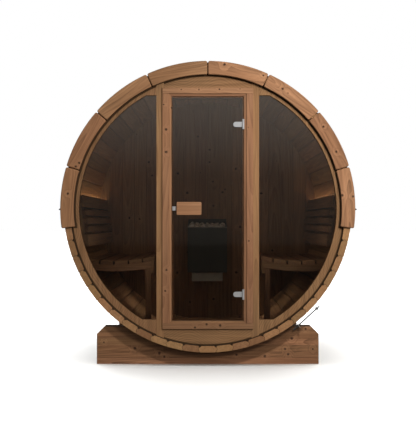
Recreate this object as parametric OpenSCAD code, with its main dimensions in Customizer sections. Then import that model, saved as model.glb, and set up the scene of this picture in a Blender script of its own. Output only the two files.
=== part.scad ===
// Barrel sauna: a shell of bead-and-cove staves lying on two cradles, closed by a glazed front wall
// with a glass door and a boarded back wall, and fitted with curved benches and a wall heater.
// The barrel's axis runs along Y, the door faces -Y, and the cradles stand on z = 0.

/* [Barrel] */
// Distance from the axis to the flat outside of a stave
barrel_r = 1010; // [960:5:1100]
// Thickness of a stave
stave_t = 45; // [36:1:55]
// Length of a stave
stave_len = 1450; // [1300:10:2400]
// Gap left between two staves
stave_gap = 0.4; // [0.2:0.1:0.8]
// Radius of the bead along a stave's edge
bead_r = 19; // [14:0.5:19]
// How far the bead stands out of the edge
bead_out = 8; // [5:0.5:10]
// Chamfer along a stave's long corners
stave_chamfer = 5.5; // [1:0.5:6]
// Depth of the groove in the staves that holds an end wall
croze_depth = 12; // [8:1:16]
// Height of the lowest stave above the ground
belly_h = 98; // [70:1:160]

/* [End trim] */
// How far the trim boards stand above the staves
trim_over = 20; // [17:1:28]
// Width of a trim board
trim_w = 96; // [80:1:120]
// Thickness of a trim board
trim_t = 30; // [20:1:40]
// Gap between two trim boards
trim_gap = 6; // [3:0.5:10]
// Angle from the top where the trim ends on each side
trim_angle = 98; // [92:1:110]
// Corner radius of a trim board
trim_corner = 12; // [4:1:20]

/* [End walls] */
// Thickness of the front and the back wall
wall_t = 45; // [40:1:50]
// Depth of the front wall behind the stave ends
front_inset = 35; // [25:1:60]
// Depth of the back wall inside the rear stave ends
rear_inset = 105; // [60:5:160]
// Gap at a joint between wall pieces
joint_gap = 0.3; // [0.1:0.1:0.5]
// Width of a back wall board
board_w = 109; // [90:1:130]
// Depth of the V at the inner joints of the back wall
board_v = 3; // [1:0.5:5]
// Thickness of the tongue between two back wall boards
tongue_t = 12; // [8:1:16]
// Length of that tongue
tongue_len = 9; // [6:0.5:11]

/* [Windows] */
// Width of the arched rim beside a window
rim_w = 54; // [45:1:70]
// Width of the stile seen between a window and the door casing
stile_w = 43; // [30:1:60]
// Distance of a window's top edge below the inside of the barrel's crown
window_over = 165; // [155:1:260]
// Distance of a window's bottom edge above the inside of the barrel's floor
window_under = 180; // [155:1:260]
// Thickness of a window pane
pane_t = 8; // [5:1:10]
// Depth of a pane behind the wall's front face
pane_set = 13; // [8:1:20]
// Depth of the groove that holds a pane
pane_groove = 10; // [6:1:14]

/* [Door frame] */
// Clear width between the two sides of the door lining
opening_w = 512; // [480:2:540]
// Distance of the door casing from the inside of the barrel's crown and floor
head_room = 115; // [100:1:200]
// Width of the lining's front edge that stays in view
strip_w = 17; // [12:1:24]
// How far that edge stands out of the wall
strip_out = 6; // [3:1:10]
// Width of the casing boards at the sides
casing_side_w = 47; // [40:1:56]
// Width of the casing boards at the top and bottom
casing_end_w = 40; // [32:1:50]
// Thickness of the casing boards
casing_t = 18; // [14:1:24]
// How far the lining reaches under the casing
lining_lap = 37; // [20:1:39]
// Width of the door stop
stop_w = 16; // [12:1:24]

/* [Glass door] */
// Gap between the glass and the lining
door_gap = 5.5; // [5:0.5:8]
// Thickness of the door glass
door_t = 8; // [6:1:10]
// Depth of the glass behind the lining's front edge
door_set = 3; // [2:0.5:6]
// Gap between the hinge clamps and the door stop
stop_gap = 6; // [5:0.5:10]
// Width of the handle block
handle_w = 175; // [140:1:200]
// Height of the handle block
handle_h = 92; // [70:1:120]
// Depth of the outer handle block
handle_d = 34; // [24:1:40]
// Depth of the inner handle block
pull_d = 20; // [14:1:24]
// Corner radius of the handle block
handle_corner = 8; // [3:1:14]
// Width of the latch piece
latch_w = 31; // [24:1:31]
// Height of the latch piece
latch_h = 29; // [24:1:40]
// Depth of the latch piece
latch_d = 12; // [8:1:16]
// Bow of the latch piece's front
latch_bow = 4; // [1:0.5:7]

/* [Hinges] */
// Distance of each hinge from the nearer end of the glass, before both are lowered
hinge_in = 187.5; // [80:0.5:300]
// How far both hinges are lowered
hinge_drop = 6; // [0:1:20]
// Radius of a hinge pin
pin_r = 4; // [3:0.5:5]
// Running clearance round a pin
pin_clear = 0.05; // [0.02:0.01:0.1]
// Radius of a hinge knuckle
knuckle_r = 8; // [7:0.5:9]
// Height of a hinge tongue on the glass
tongue_h = 37; // [30:1:50]
// Length of a hinge tongue
tongue_l = 70; // [50:1:90]
// Thickness of the clamp plates on the glass
clamp_t = 4; // [3:0.5:5]
// Height of a hinge flange on the lining
flange_h = 71; // [64:1:90]
// Thickness of that flange
flange_t = 2.5; // [2:0.1:2.8]
// Distance of the pins in front of the glass
pin_front = 12; // [11:0.5:14]

/* [Cradles] */
// Width of a cradle
cradle_w = 1582; // [1400:2:1800]
// Height of a cradle
cradle_h = 268; // [220:1:320]
// Thickness of a cradle
cradle_t = 90; // [60:1:120]
// Distance of the front cradle from the stave ends
cradle_front_in = 80; // [75:1:200]
// Distance of the rear cradle from the stave ends
cradle_rear_in = 75; // [75:1:200]
// Chamfer at a cradle's upper corners
cradle_chamfer = 53; // [30:1:80]

/* [Bands and roof] */
// Width of a steel band
band_w = 40; // [25:1:44]
// Thickness of a steel band
band_t = 1.2; // [0.8:0.1:2]
// Distance of a band from the stave ends
band_in = 26; // [22:1:29]
// Distance between a band's two ears
ear_gap = 168; // [120:2:200]
// Height of an ear above the band
ear_h = 54; // [50:1:80]
// Thickness of an ear
ear_t = 3; // [2:0.5:4]
// Length of a tensioning rod
rod_l = 250; // [240:2:300]
// Radius of a tensioning rod
rod_r = 5; // [3:0.5:6]
// Height of the rod above the band
rod_h = 33; // [30:1:36]
// How far the rod is set towards the barrel's bottom
rod_slip = 9; // [0:1:15]
// Thickness of the roof cover
roof_t = 5; // [3:0.5:5]
// Reach of the drip lip at the eaves
drip_out = 26; // [20:1:40]
// Thickness of the folded drip lip
lip_t = 5; // [3:0.5:6]
// Height of the drip flashing on the cover
drip_h = 34; // [24:1:44]
// Thickness of the drip flashing
drip_t = 1.6; // [1:0.1:2]

/* [Benches] */
// Width of a bench from its aisle edge to the staves, at the axis
bench_w = 563; // [540:1:575]
// Distance of the benches behind the front wall
bench_in = 233; // [200:1:300]
// Depth of the lowest line of a seat below the axis
seat_drop = 385; // [350:1:420]
// Distance of that line from the staves, at the axis
seat_in = 277; // [265:1:295]
// Radius of the seat's curve
seat_r = 1200; // [1000:10:1500]
// Thickness of a seat slat
slat_t = 31; // [24:1:38]
// Width of a seat slat
slat_w = 98; // [80:1:120]
// Width of the slat at the aisle
first_slat_w = 87; // [60:1:110]
// Gap between two seat slats
slat_gap = 7.4; // [6:0.1:12]
// Chamfer along a slat's lower corners
slat_chamfer = 5; // [2:0.5:8]
// Gap between the last slat and the staves
seat_end = 7; // [4:0.5:20]
// Height of the rail under the slats
rail_h = 48; // [36:1:60]
// Thickness of the rails and legs along the bench
rail_t = 42; // [36:1:60]
// Width of a leg
leg_w = 40; // [34:1:60]
// Thickness of the apron at the aisle
apron_t = 23; // [18:1:30]
// How far the apron reaches below the seat's lowest line
apron_h = 93; // [75:1:130]

/* [Backrests] */
// Distance of a backrest's innermost line from the staves, at the axis
back_in = 114; // [109:1:125]
// Height of that line above the seat's lowest line
back_up = 137; // [130:1:150]
// How far the boards reach below that line
back_below = 25; // [15:1:35]
// Radius of the backrest's curve, which swells towards the aisle
back_r = 1350; // [1250:10:1600]
// Height of the top and bottom boards
back_wide = 90; // [80:1:92]
// Height of the three middle boards
back_narrow = 45; // [40:1:47]
// Gap between two backrest boards
back_gap = 15; // [10:1:16]
// Thickness of the backrest boards
back_t = 27; // [20:1:30]
// Gap between the backrests and the end walls
back_end = 6; // [4:1:20]
// Width of a batten behind the boards
batten_w = 40; // [30:1:60]
// Height of a batten's top above the lower edge of the top board
batten_top = 70; // [50:1:80]
// Depth of the middle batten behind the front wall
batten_mid = 445; // [400:5:600]
// Width of a light strip
light_w = 16; // [10:1:18]
// Height of a light strip
light_h = 10; // [6:1:12]

/* [Heater and vent] */
// Width of the heater
heater_w = 336; // [300:2:380]
// Sideways place of the heater
heater_x = -4.5; // [-20:0.5:20]
// Depth of the heater
heater_d = 280; // [220:2:300]
// Depth of the heater's front top edge below the axis
heater_top = 140; // [110:1:160]
// Height of the heater's front
heater_h = 386; // [340:1:420]
// How far the heater's back rises above its front edge
heater_rise = 73; // [40:1:90]
// Thickness of the heater's sheet steel
heater_sheet = 3; // [2:0.5:4]
// Depth of the stone tray below the front edge
tray_depth = 100; // [80:1:140]
// Radius of a heater stone
stone_r = 23; // [18:1:23]
// Width of the unit under the heater
unit_w = 265; // [220:1:300]
// Height of the unit under the heater
unit_h = 76; // [60:1:90]
// Distance of that unit's front behind the heater's front
unit_in = 30; // [10:1:60]
// Distance of the vent's middle from the staves
vent_in = 207; // [150:1:260]
// Angle of the vent above the horizontal through the axis
vent_angle = 54.4; // [45:0.1:65]
// Radius of the vent's flange
vent_r = 58; // [52:1:70]
// Radius of the hole for the vent
vent_hole = 46; // [38:1:48]

/* [Hidden] */
stave_count = 54;
pitch = 360 / stave_count;
half_pitch = pitch / 2;
half_count = stave_count / 2;
trim_boards = 4;
fine = 64;
barrel_fine = 360;
cut = 1;

// Lengthwise places, with the overall length centred on y = 0
length = stave_len + 2 * trim_t;
stave_y0 = -length / 2 + trim_t;
stave_y1 = stave_y0 + stave_len;
front_y0 = stave_y0 + front_inset;
front_y1 = front_y0 + wall_t;
rear_y1 = stave_y1 - rear_inset;
rear_y0 = rear_y1 - wall_t;

// Distances from the axis
axis_z = barrel_r + belly_h;
inner_r = barrel_r - stave_t;
mid_r = barrel_r - stave_t / 2;
croze_r = inner_r + croze_depth;
wall_r = croze_r - joint_gap;
trim_r = barrel_r + trim_over;
window_r = inner_r - rim_w;
window_top = inner_r - window_over;
window_bottom = inner_r - window_under;
roof_in = barrel_r + band_t + joint_gap;
roof_out = roof_in + roof_t;

// Door frame, outwards from the opening's width and inwards from the casing's height
open_x = opening_w / 2;
strip_x = open_x + strip_w;
casing_x = strip_x + casing_side_w;
casing_z = inner_r - head_room;
strip_z = casing_z - casing_end_w;
open_z = strip_z - strip_w;
lining_x = strip_x + lining_lap;
lining_z = strip_z + lining_lap;
window_x = casing_x + stile_w;
strip_y = front_y0 - strip_out;

// Glass door and its hinges
glass_x = open_x - door_gap;
glass_z = open_z - door_gap;
glass_y0 = strip_y + door_set;
glass_y1 = glass_y0 + door_t;
stop_y = glass_y1 + clamp_t + stop_gap;
pin_y = glass_y0 - pin_front;
hinge_z = glass_z - hinge_in;
knuckle_gap = 0.4;
plate_in = 1.5;
latch_side = 0.5;
latch_r = (latch_w * latch_w / 4 + latch_bow * latch_bow) / (2 * latch_bow);

// Tensioner of a band, as an angle from the barrel's bottom, a little below a joint between two staves
ear_turn = 0.8;
ear_angle = 6.5 * pitch - ear_turn;
ear_foot = 0.4;
rod_hole = 0.4;
nut_r = 9.8;
nut_t = 8;

// Benches, by the staves
aisle_half = inner_r - bench_w;
seat_mid = inner_r - seat_in;
apron_drop = seat_drop + apron_h;
bench_y0 = front_y1 + bench_in;
bench_y1 = rear_y0 - back_end;
bench_len = bench_y1 - bench_y0;

// Seat slats: angles from the lowest line, on the seat's circle, which is centred above the bench
function seat_angle(l) = l / seat_r * 180 / PI;
seat_cz = seat_r - seat_drop;
seat_centre = [seat_mid, seat_cz];
seat_reach = norm(seat_centre);
seat_far = inner_r - seat_end;
seat_turn = acos((seat_r * seat_r + seat_reach * seat_reach - seat_far * seat_far) / (2 * seat_r * seat_reach));
slat_pitch = seat_angle(slat_w + slat_gap);
half_slat_gap = seat_angle(slat_gap / 2);
first_angle = asin((aisle_half - seat_mid) / seat_r);
last_angle = seat_turn - atan2(seat_mid, seat_cz);
first_gap = first_angle + seat_angle(first_slat_w + slat_gap / 2);
least_slat = 0.3;
whole_slats = floor((last_angle + half_slat_gap - first_gap) / slat_pitch - least_slat);
slat_edges = concat([first_angle - half_slat_gap],
    [for (i = [0:whole_slats]) first_gap + i * slat_pitch], [last_angle + half_slat_gap]);
slat_mids = [for (k = [0:whole_slats + 1]) (slat_edges[k] + slat_edges[k + 1]) / 2 - 90];
rail_over = 4;
rail_first = asin((aisle_half + apron_t - seat_mid) / (seat_r + slat_t)) - 90;
rail_last = last_angle + rail_over - 90;

// Backrest boards: heights along the backrest's circle, which is centred outside the barrel
back_x = inner_r - back_in;
back_drop = seat_drop - back_up;
back_centre = [back_x + back_r, -back_drop];
back_heights = [back_wide, back_narrow, back_narrow, back_narrow, back_wide];
function height_below(k) = k == 0 ? 0 : back_heights[k - 1] + back_gap + height_below(k - 1);
function back_angle(l) = 180 - (l - back_below) / back_r * 180 / PI;
back_angles = [for (k = [0:4]) back_angle(height_below(k) + back_heights[k] / 2)];
back_first = back_angle(0);
batten_last = back_angle(height_below(4) + batten_top);
back_y0 = front_y1 + back_end;
back_y1 = rear_y0 - back_end;
light_clear = 6;

// Heater and vent
heater_y0 = rear_y0 - heater_d;
tray_floor = -heater_top - tray_depth;
vent_x = (inner_r - vent_in) * cos(vent_angle);
vent_z = (inner_r - vent_in) * sin(vent_angle);

// Colours of the finishes
trim_wood = "#b07c55";
stave_wood = "#96734b";
wall_wood = "#87643f";
inside_wood = "#7d6048";
cradle_wood = "#734e34";
tinted = [0.2, 0.17, 0.15, 0.6];
steel = "#c4c4c2";
black = "#1d1d1e";
grey_enamel = "#4a4a46";

// Shapes shared by several pieces

// Points of an arc round the axis
function arc(r, a0, a1, n) = [for (i = [0:n]) r * [cos(a0 + (a1 - a0) * i / n), sin(a0 + (a1 - a0) * i / n)]];

// An arc moved to its own centre
function arc_at(c, r, a0, a1, n) = [for (p = arc(r, a0, a1, n)) c + p];

// Extrudes a profile drawn across the barrel, with the axis at its origin, from y0 to y1
module along_y(y0, y1) {
    translate([0, y1, axis_z]) rotate([90, 0, 0]) linear_extrude(y1 - y0) children();
}

// The polygon of flats that all the staves give at one distance from the axis
module stave_outline(flat_r) {
    corner = flat_r / cos(half_pitch);
    polygon([for (i = [0:stave_count - 1]) corner * [sin((i + 0.5) * pitch), -cos((i + 0.5) * pitch)]]);
}

// Both sides of the barrel
module both_sides() {
    children();
    mirror([1, 0, 0]) children();
}

// Line that flat boards of equal thickness leave along a curve: c is the curve's centre, d the flats' distance
function flats(c, d, angles, a0, a1) = let (n = len(angles))
    concat([c + d / cos(a0 - angles[0]) * [cos(a0), sin(a0)]],
        [for (k = [0:n - 2]) let (m = (angles[k] + angles[k + 1]) / 2)
            c + d / cos((angles[k + 1] - angles[k]) / 2) * [cos(m), sin(m)]],
        [c + d / cos(a1 - angles[n - 1]) * [cos(a1), sin(a1)]]);

// Staves

// Section of a stave with its centre line pointing down; a bead fits the cove of the next stave up
module stave_section(left_bead, right_bead) {
    edge = stave_gap / 2 / cos(half_pitch);
    lean = tan(half_pitch);
    half_out = barrel_r * lean - edge;
    half_in = inner_r * lean - edge;
    c = stave_chamfer;
    joint = [mid_r * sin(half_pitch), -mid_r * cos(half_pitch)];
    bead = joint - (bead_r - bead_out) * [cos(half_pitch), sin(half_pitch)];
    difference() {
        union() {
            polygon([[-half_out + c, -barrel_r], [half_out - c, -barrel_r],
                [half_out - c * lean, -barrel_r + c], [half_in + c * lean, -inner_r - c],
                [half_in - c, -inner_r], [-half_in + c, -inner_r],
                [-half_in - c * lean, -inner_r - c], [-half_out + c * lean, -barrel_r + c]]);
            if (right_bead) translate(bead) circle(bead_r, $fn = fine);
            if (left_bead) mirror([1, 0]) translate(bead) circle(bead_r, $fn = fine);
        }
        if (!right_bead) mirror([1, 0]) rotate(-pitch) translate(bead) circle(bead_r + stave_gap, $fn = fine);
        if (!left_bead) rotate(-pitch) translate(bead) circle(bead_r + stave_gap, $fn = fine);
    }
}

// Staves from index i0 to i1, counted up from the bottom on the right, with the grooves for both end walls
module stave_row(i0, i1) {
    color(stave_wood) difference() {
        for (i = [i0:i1]) along_y(stave_y0, stave_y1) rotate(i * pitch)
            stave_section(i <= 0 && i != half_count, i >= 0 && i != half_count);
        along_y(front_y0 - joint_gap, front_y1 + joint_gap) circle(croze_r, $fn = barrel_fine);
        along_y(rear_y0 - joint_gap, rear_y1 + joint_gap) circle(croze_r, $fn = barrel_fine);
    }
}

module staves_floor() { stave_row(-3, 3); }
module staves_lower_left() { stave_row(-10, -4); }
module staves_lower_right() { stave_row(4, 10); }
module staves_side_left() { stave_row(-17, -11); }
module staves_side_right() { stave_row(11, 17); }
module staves_upper_left() { stave_row(-24, -18); }
module staves_upper_right() { stave_row(18, 24); }
module staves_crown() {
    stave_row(25, half_count);
    stave_row(-half_count + 1, -25);
}

// End trim

// An arched board with rounded corners between two angles
module arched_board(r0, r1, a0, a1, corner) {
    d1 = asin(corner / (r1 - corner));
    d0 = asin(corner / (r0 + corner));
    outer = r1 - corner;
    inner = r0 + corner;
    steps = 12;
    turns = 4;
    polygon(concat(
        arc_at(arc(outer, a0 + d1, a0 + d1, 1)[0], corner, a0 - 90, a0 + d1, turns),
        [for (i = [1:steps - 1]) arc(r1, a0 + d1, a1 - d1, steps)[i]],
        arc_at(arc(outer, a1 - d1, a1 - d1, 1)[0], corner, a1 - d1, a1 + 90, turns),
        arc_at(arc(inner, a1 - d0, a1 - d0, 1)[0], corner, a1 + 90, a1 - d0 + 180, turns),
        [for (i = [1:steps - 1]) arc(r0, a1 - d0, a0 + d0, steps)[i]],
        arc_at(arc(inner, a0 + d0, a0 + d0, 1)[0], corner, a0 + d0 + 180, a0 + 270, turns)));
}

module trim_ring(y0) {
    step = trim_angle / trim_boards;
    half_gap = trim_gap / 2 / (trim_r - trim_w / 2) * 180 / PI;
    color(trim_wood) both_sides() for (k = [0:trim_boards - 1])
        along_y(y0, y0 + trim_t)
            arched_board(trim_r - trim_w, trim_r, 90 - (k + 1) * step + half_gap, 90 - k * step - half_gap,
                trim_corner);
}

module trim_front() { trim_ring(stave_y0 - trim_t); }
module trim_rear() { trim_ring(stave_y1); }

// Front wall

// Outline of the right-hand window, grown by e on every side
module window_outline(e) {
    intersection() {
        circle(window_r + e, $fn = barrel_fine);
        translate([window_x - e, -window_bottom - e])
            square([window_r, window_top + window_bottom + 2 * e]);
    }
}

// A piece of the front wall: what the region drawn by the children keeps of the wall
module wall_piece() {
    color(wall_wood) difference() {
        along_y(front_y0, front_y1) intersection() {
            difference() {
                circle(wall_r, $fn = barrel_fine);
                window_outline(0);
                mirror([1, 0]) window_outline(0);
                square(2 * [lining_x + joint_gap, lining_z + joint_gap], center = true);
            }
            children();
        }
        both_sides() along_y(front_y0 + pane_set - joint_gap, front_y0 + pane_set + pane_t + joint_gap)
            window_outline(pane_groove);
    }
}

// A rim bends round each window, from the stile's head to its foot
module front_rims() {
    both_sides() wall_piece() translate([window_x + joint_gap, -barrel_r]) square([barrel_r, 2 * barrel_r]);
}

// The stiles run from the staves of the floor to those of the crown
module front_stiles() {
    both_sides() wall_piece() translate([lining_x, -barrel_r]) square([window_x - lining_x, 2 * barrel_r]);
}

// The panels over and under the door fit between the stiles
module panel_region() {
    half = lining_x - joint_gap;
    translate([-half, 0]) square([2 * half, barrel_r]);
}

module front_top_panel() { wall_piece() panel_region(); }
module front_bottom_panel() { wall_piece() mirror([0, 1]) panel_region(); }

module windows() {
    color(tinted) both_sides() along_y(front_y0 + pane_set, front_y0 + pane_set + pane_t)
        window_outline(pane_groove - 2 * joint_gap);
}

// Door frame

// The head and the sill board run over the ends of the side boards
module door_casing() {
    color(wall_wood) along_y(front_y0 - casing_t, front_y0) {
        for (side = [-1, 1]) translate([side * (strip_x + casing_side_w / 2), 0])
            square([casing_side_w, 2 * (strip_z - joint_gap)], center = true);
        for (end = [-1, 1]) translate([0, end * (strip_z + casing_end_w / 2)])
            square([2 * casing_x, casing_end_w], center = true);
    }
}

// One layer of the lining: a flat ring between two half sizes
module lining_layer(inside, outside, y0, y1) {
    along_y(y0, y1) difference() {
        square(2 * outside, center = true);
        square(2 * inside, center = true);
    }
}

// Region of the right side of the lining up to its mitred corners
module lining_side_region() {
    reach = 200;
    polygon([[joint_gap, open_z - open_x], [open_x + reach + joint_gap, open_z + reach],
        [open_x + reach + joint_gap, -open_z - reach], [joint_gap, open_x - open_z]]);
}

// Region of the head of the lining up to its mitred corners
module lining_head_region() {
    reach = 200;
    polygon([[0, open_z - open_x], [open_x + reach, open_z + reach], [-open_x - reach, open_z + reach]]);
}

module lining_ring() {
    opening = [open_x, open_z];
    strip = [strip_x, strip_z];
    outer = [lining_x, lining_z];
    lining_layer(opening, strip, strip_y, front_y0);
    lining_layer(opening, outer, front_y0, stop_y);
    lining_layer(opening - stop_w * [1, 1], outer, stop_y, front_y1);
}

module door_lining() {
    color(wall_wood) {
        both_sides() intersection() {
            lining_ring();
            along_y(strip_y, front_y1) lining_side_region();
        }
        for (turn = [0, 1]) intersection() {
            lining_ring();
            along_y(strip_y, front_y1) mirror([0, turn]) lining_head_region();
        }
    }
}

// Glass door

module door_glass() {
    color(tinted) along_y(glass_y0, glass_y1) square(2 * [glass_x, glass_z], center = true);
}

// Outline of the handle block with rounded corners
module handle_outline() {
    c = handle_corner;
    w = handle_w;
    h = handle_h / 2;
    polygon(concat(arc_at([w - c, h - c], c, 0, 90, 6), arc_at([c, h - c], c, 90, 180, 6),
        arc_at([c, c - h], c, 180, 270, 6), arc_at([w - c, c - h], c, 270, 360, 6)));
}

module door_handle() {
    color(trim_wood) translate([-glass_x + latch_w + latch_side, 0, 0]) {
        along_y(glass_y0 - handle_d, glass_y0) handle_outline();
        along_y(glass_y1, glass_y1 + pull_d) handle_outline();
    }
}

// A block with a bowed front, drawn in plan
module door_latch() {
    color(steel) translate([-glass_x, glass_y0 - latch_d, axis_z - latch_h / 2]) linear_extrude(latch_h)
        intersection() {
            square([latch_w, latch_d]);
            translate([latch_w / 2, latch_r]) circle(latch_r, $fn = fine);
        }
}

// Hinges: the pin stands at the glass's edge, in front of it

module at_hinges() {
    for (end = [-1, 1]) translate([glass_x, pin_y, axis_z - hinge_drop + end * hinge_z])
        children();
}

// Outline of a tongue, running from the pin to its round end
module tongue_outline() {
    half = tongue_h / 2;
    translate([-tongue_l + half, 0]) circle(half, $fn = fine);
    translate([-tongue_l + half, -half]) square([tongue_l - half, tongue_h]);
}

module hinge_clamps() {
    color(steel) at_hinges() {
        difference() {
            union() {
                translate([0, pin_front, 0]) rotate([90, 0, 0]) linear_extrude(clamp_t) tongue_outline();
                cylinder(tongue_h, knuckle_r, knuckle_r, center = true, $fn = fine);
                translate([-knuckle_r, 0, -tongue_h / 2]) cube([knuckle_r, pin_front, tongue_h]);
            }
            cylinder(2 * tongue_h, pin_r + pin_clear, pin_r + pin_clear, center = true, $fn = fine);
        }
        translate([-plate_in, pin_front + door_t + clamp_t, 0]) rotate([90, 0, 0]) linear_extrude(clamp_t)
            tongue_outline();
    }
}

// A flange lies on the lining beside the glass, and its two knuckles hold the pin
module hinge_flanges() {
    ear = (flange_h - tongue_h) / 2 - knuckle_gap;
    room = knuckle_r + knuckle_gap;
    color(steel) at_hinges() {
        difference() {
            translate([door_gap - flange_t, 0, -flange_h / 2])
                cube([flange_t, stop_y - pin_y - joint_gap, flange_h]);
            cylinder(flange_h - 2 * ear, room, room, center = true, $fn = fine);
        }
        cylinder(flange_h, pin_r, pin_r, center = true, $fn = fine);
        for (end = [0, 1]) mirror([0, 0, end]) translate([0, 0, flange_h / 2 - ear])
            cylinder(ear, knuckle_r, knuckle_r, $fn = fine);
    }
}

// Back wall and vent

// Section of a back wall board in plan, with its tongue towards +X and a small V at the inner joints
module board_section() {
    w = board_w - joint_gap;
    c = board_v;
    mid = wall_t / 2;
    half = tongue_t / 2;
    slot = half + joint_gap;
    polygon([[c, 0], [w - c, 0], [w, c], [w, mid - half], [w + tongue_len, mid - half],
        [w + tongue_len, mid + half], [w, mid + half], [w, wall_t], [0, wall_t], [0, mid + slot],
        [tongue_len + joint_gap, mid + slot], [tongue_len + joint_gap, mid - slot], [0, mid - slot], [0, c]]);
}

module back_wall() {
    boards = 2 * ceil(wall_r / board_w);
    color(inside_wood) difference() {
        intersection() {
            for (i = [0:boards - 1])
                translate([(i - boards / 2) * board_w, rear_y0, axis_z - wall_r])
                    linear_extrude(2 * wall_r) board_section();
            along_y(rear_y0 - cut, rear_y1 + cut) circle(wall_r, $fn = barrel_fine);
        }
        along_y(rear_y0 - cut, rear_y1 + cut) translate([-vent_x, vent_z]) circle(vent_hole, $fn = fine);
    }
}

module vent() {
    collar_t = 5;
    sleeve_t = 3;
    bore = vent_hole - joint_gap - sleeve_t;
    disc_gap = 9;
    disc_lap = 4;
    disc_r = bore + disc_lap;
    stem_r = 4;
    bar = 8;
    color(inside_wood) translate([-vent_x, 0, vent_z]) {
        along_y(rear_y0 - collar_t, rear_y0) difference() {
            circle(vent_r, $fn = fine);
            circle(bore, $fn = fine);
        }
        along_y(rear_y0 - cut, rear_y1 + collar_t) difference() {
            circle(bore + sleeve_t, $fn = fine);
            circle(bore, $fn = fine);
        }
        along_y(rear_y1, rear_y1 + collar_t) difference() {
            circle(vent_r, $fn = fine);
            circle(bore, $fn = fine);
        }
        along_y(rear_y1 - bar, rear_y1) square([2 * bore + sleeve_t, bar], center = true);
        along_y(rear_y0 - collar_t - disc_gap, rear_y1 - cut) circle(stem_r, $fn = fine);
        along_y(rear_y0 - collar_t - 2 * disc_gap, rear_y0 - collar_t - disc_gap) circle(disc_r, $fn = fine);
    }
}

// Roof cover and drip flashing

module roof_cover() {
    color(black) along_y(stave_y0, stave_y1) difference() {
        stave_outline(roof_out);
        stave_outline(roof_in);
        translate([-2 * barrel_r, -2 * barrel_r]) square([4 * barrel_r, 2 * barrel_r]);
    }
}

module drip_edges() {
    eave_angle = half_pitch;
    raise = 8;
    low = raise - barrel_r * tan(half_pitch);
    fall = 20;
    color(black) both_sides() along_y(stave_y0, stave_y1) rotate(eave_angle) translate([roof_out, low])
        polygon([[0, 0], [drip_out, -fall], [drip_out, lip_t - fall], [drip_t, lip_t],
            [drip_t, drip_h], [0, drip_h]]);
}

// Steel bands, whose ends turn out as two ears that a threaded rod pulls together

module at_tensioner() {
    rotate(ear_angle) children();
}

module band(y0) {
    t = ear_gap / 2;
    function lean(side) = half_pitch + side * ear_turn;
    function foot(side) = (barrel_r - (t + ear_t) * sin(lean(side))) / cos(lean(side)) + ear_foot;
    color(steel) difference() {
        along_y(y0, y0 + band_w) {
            difference() {
                stave_outline(barrel_r + band_t);
                stave_outline(barrel_r);
                at_tensioner() translate([-t, -2 * barrel_r]) square([2 * t, 2 * barrel_r]);
            }
            at_tensioner() for (side = [-1, 1]) translate([side * (t + ear_t / 2), -foot(side) - ear_h / 2])
                square([ear_t, ear_h], center = true);
        }
        rod_place(y0) cylinder(rod_l, rod_r + rod_hole, rod_r + rod_hole, center = true, $fn = fine);
    }
}

// The rod's place: its axis is laid along the tangent at the tensioner
module rod_place(y0) {
    translate([0, y0 + band_w / 2, axis_z]) rotate([0, -ear_angle, 0])
        translate([0, 0, -barrel_r - rod_h]) rotate([0, 90, 0]) children();
}

module band_rods() {
    color(steel) for (y0 = [stave_y0 + band_in, stave_y1 - band_in - band_w]) rod_place(y0) {
        translate([0, 0, -rod_slip]) cylinder(rod_l, rod_r, rod_r, center = true, $fn = fine);
        for (end = [0, 1]) mirror([0, 0, end]) translate([0, 0, ear_gap / 2 + ear_t])
            cylinder(nut_t, nut_r, nut_r, $fn = 6);
    }
}

module band_front() { band(stave_y0 + band_in); }
module band_rear() { band(stave_y1 - band_in - band_w); }

// Cradles

module cradle(y0) {
    w = cradle_w / 2;
    c = cradle_chamfer;
    color(cradle_wood) along_y(y0, y0 + cradle_t) difference() {
        translate([0, -axis_z])
            polygon([[-w, 0], [w, 0], [w, cradle_h - c], [w - c, cradle_h],
                [c - w, cradle_h], [-w, cradle_h - c]]);
        stave_outline(barrel_r + joint_gap);
    }
}

module cradle_front() { cradle(stave_y0 + cradle_front_in); }
module cradle_rear() { cradle(stave_y1 - cradle_rear_in - cradle_t); }

// Benches

// Section of a slat with its lower side towards +X
module slat_section(width) {
    c = slat_chamfer;
    polygon([[0, 0], [slat_t - c, 0], [slat_t, c], [slat_t, width - c], [slat_t - c, width], [0, width]]);
}

// The right-hand bench: slats on a hollow curve
module bench_slats() {
    color(inside_wood) intersection() {
        along_y(bench_y0, bench_y1) for (k = [0:len(slat_mids) - 1]) {
            width = (slat_edges[k + 1] - slat_edges[k]) * PI / 180 * seat_r - slat_gap;
            translate(seat_centre) rotate(slat_mids[k]) translate([seat_r, -width / 2]) slat_section(width);
        }
        along_y(bench_y0, bench_y1) stave_outline(inner_r - joint_gap);
    }
}

// Frame of a bench: a curved rail under the slats and a leg down to the staves
module bench_frame() {
    top = flats(seat_centre, seat_r + slat_t, slat_mids, rail_first, rail_last);
    under = seat_r + slat_t + rail_h;
    leg_x = aisle_half + apron_t;
    intersection() {
        union() {
            polygon(concat(top, arc_at(seat_centre, under, rail_last, rail_first, 16)));
            difference() {
                translate([leg_x, -barrel_r]) square([leg_w, barrel_r - seat_drop]);
                translate(seat_centre) circle(under + joint_gap, $fn = barrel_fine);
            }
        }
        stave_outline(inner_r - joint_gap);
        translate([leg_x, -barrel_r]) square(barrel_r);
    }
}

module bench_frames() {
    for (y = [bench_y0, bench_y0 + (bench_len - rail_t) / 2, bench_y1 - rail_t])
        color(inside_wood) along_y(y, y + rail_t) bench_frame();
}

// Apron along the aisle, fixed to the legs under the first slat
module bench_apron() {
    reach = seat_r + slat_t;
    tilt = slat_mids[0] + 90;
    function under_slat(x) = seat_cz - (reach - (x - seat_mid) * sin(tilt)) / cos(tilt);
    x0 = aisle_half + joint_gap;
    x1 = aisle_half + apron_t;
    color(inside_wood) along_y(bench_y0, bench_y1)
        polygon([[x0, -apron_drop], [x1, -apron_drop], [x1, under_slat(x1)], [x0, under_slat(x0)]]);
}

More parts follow.
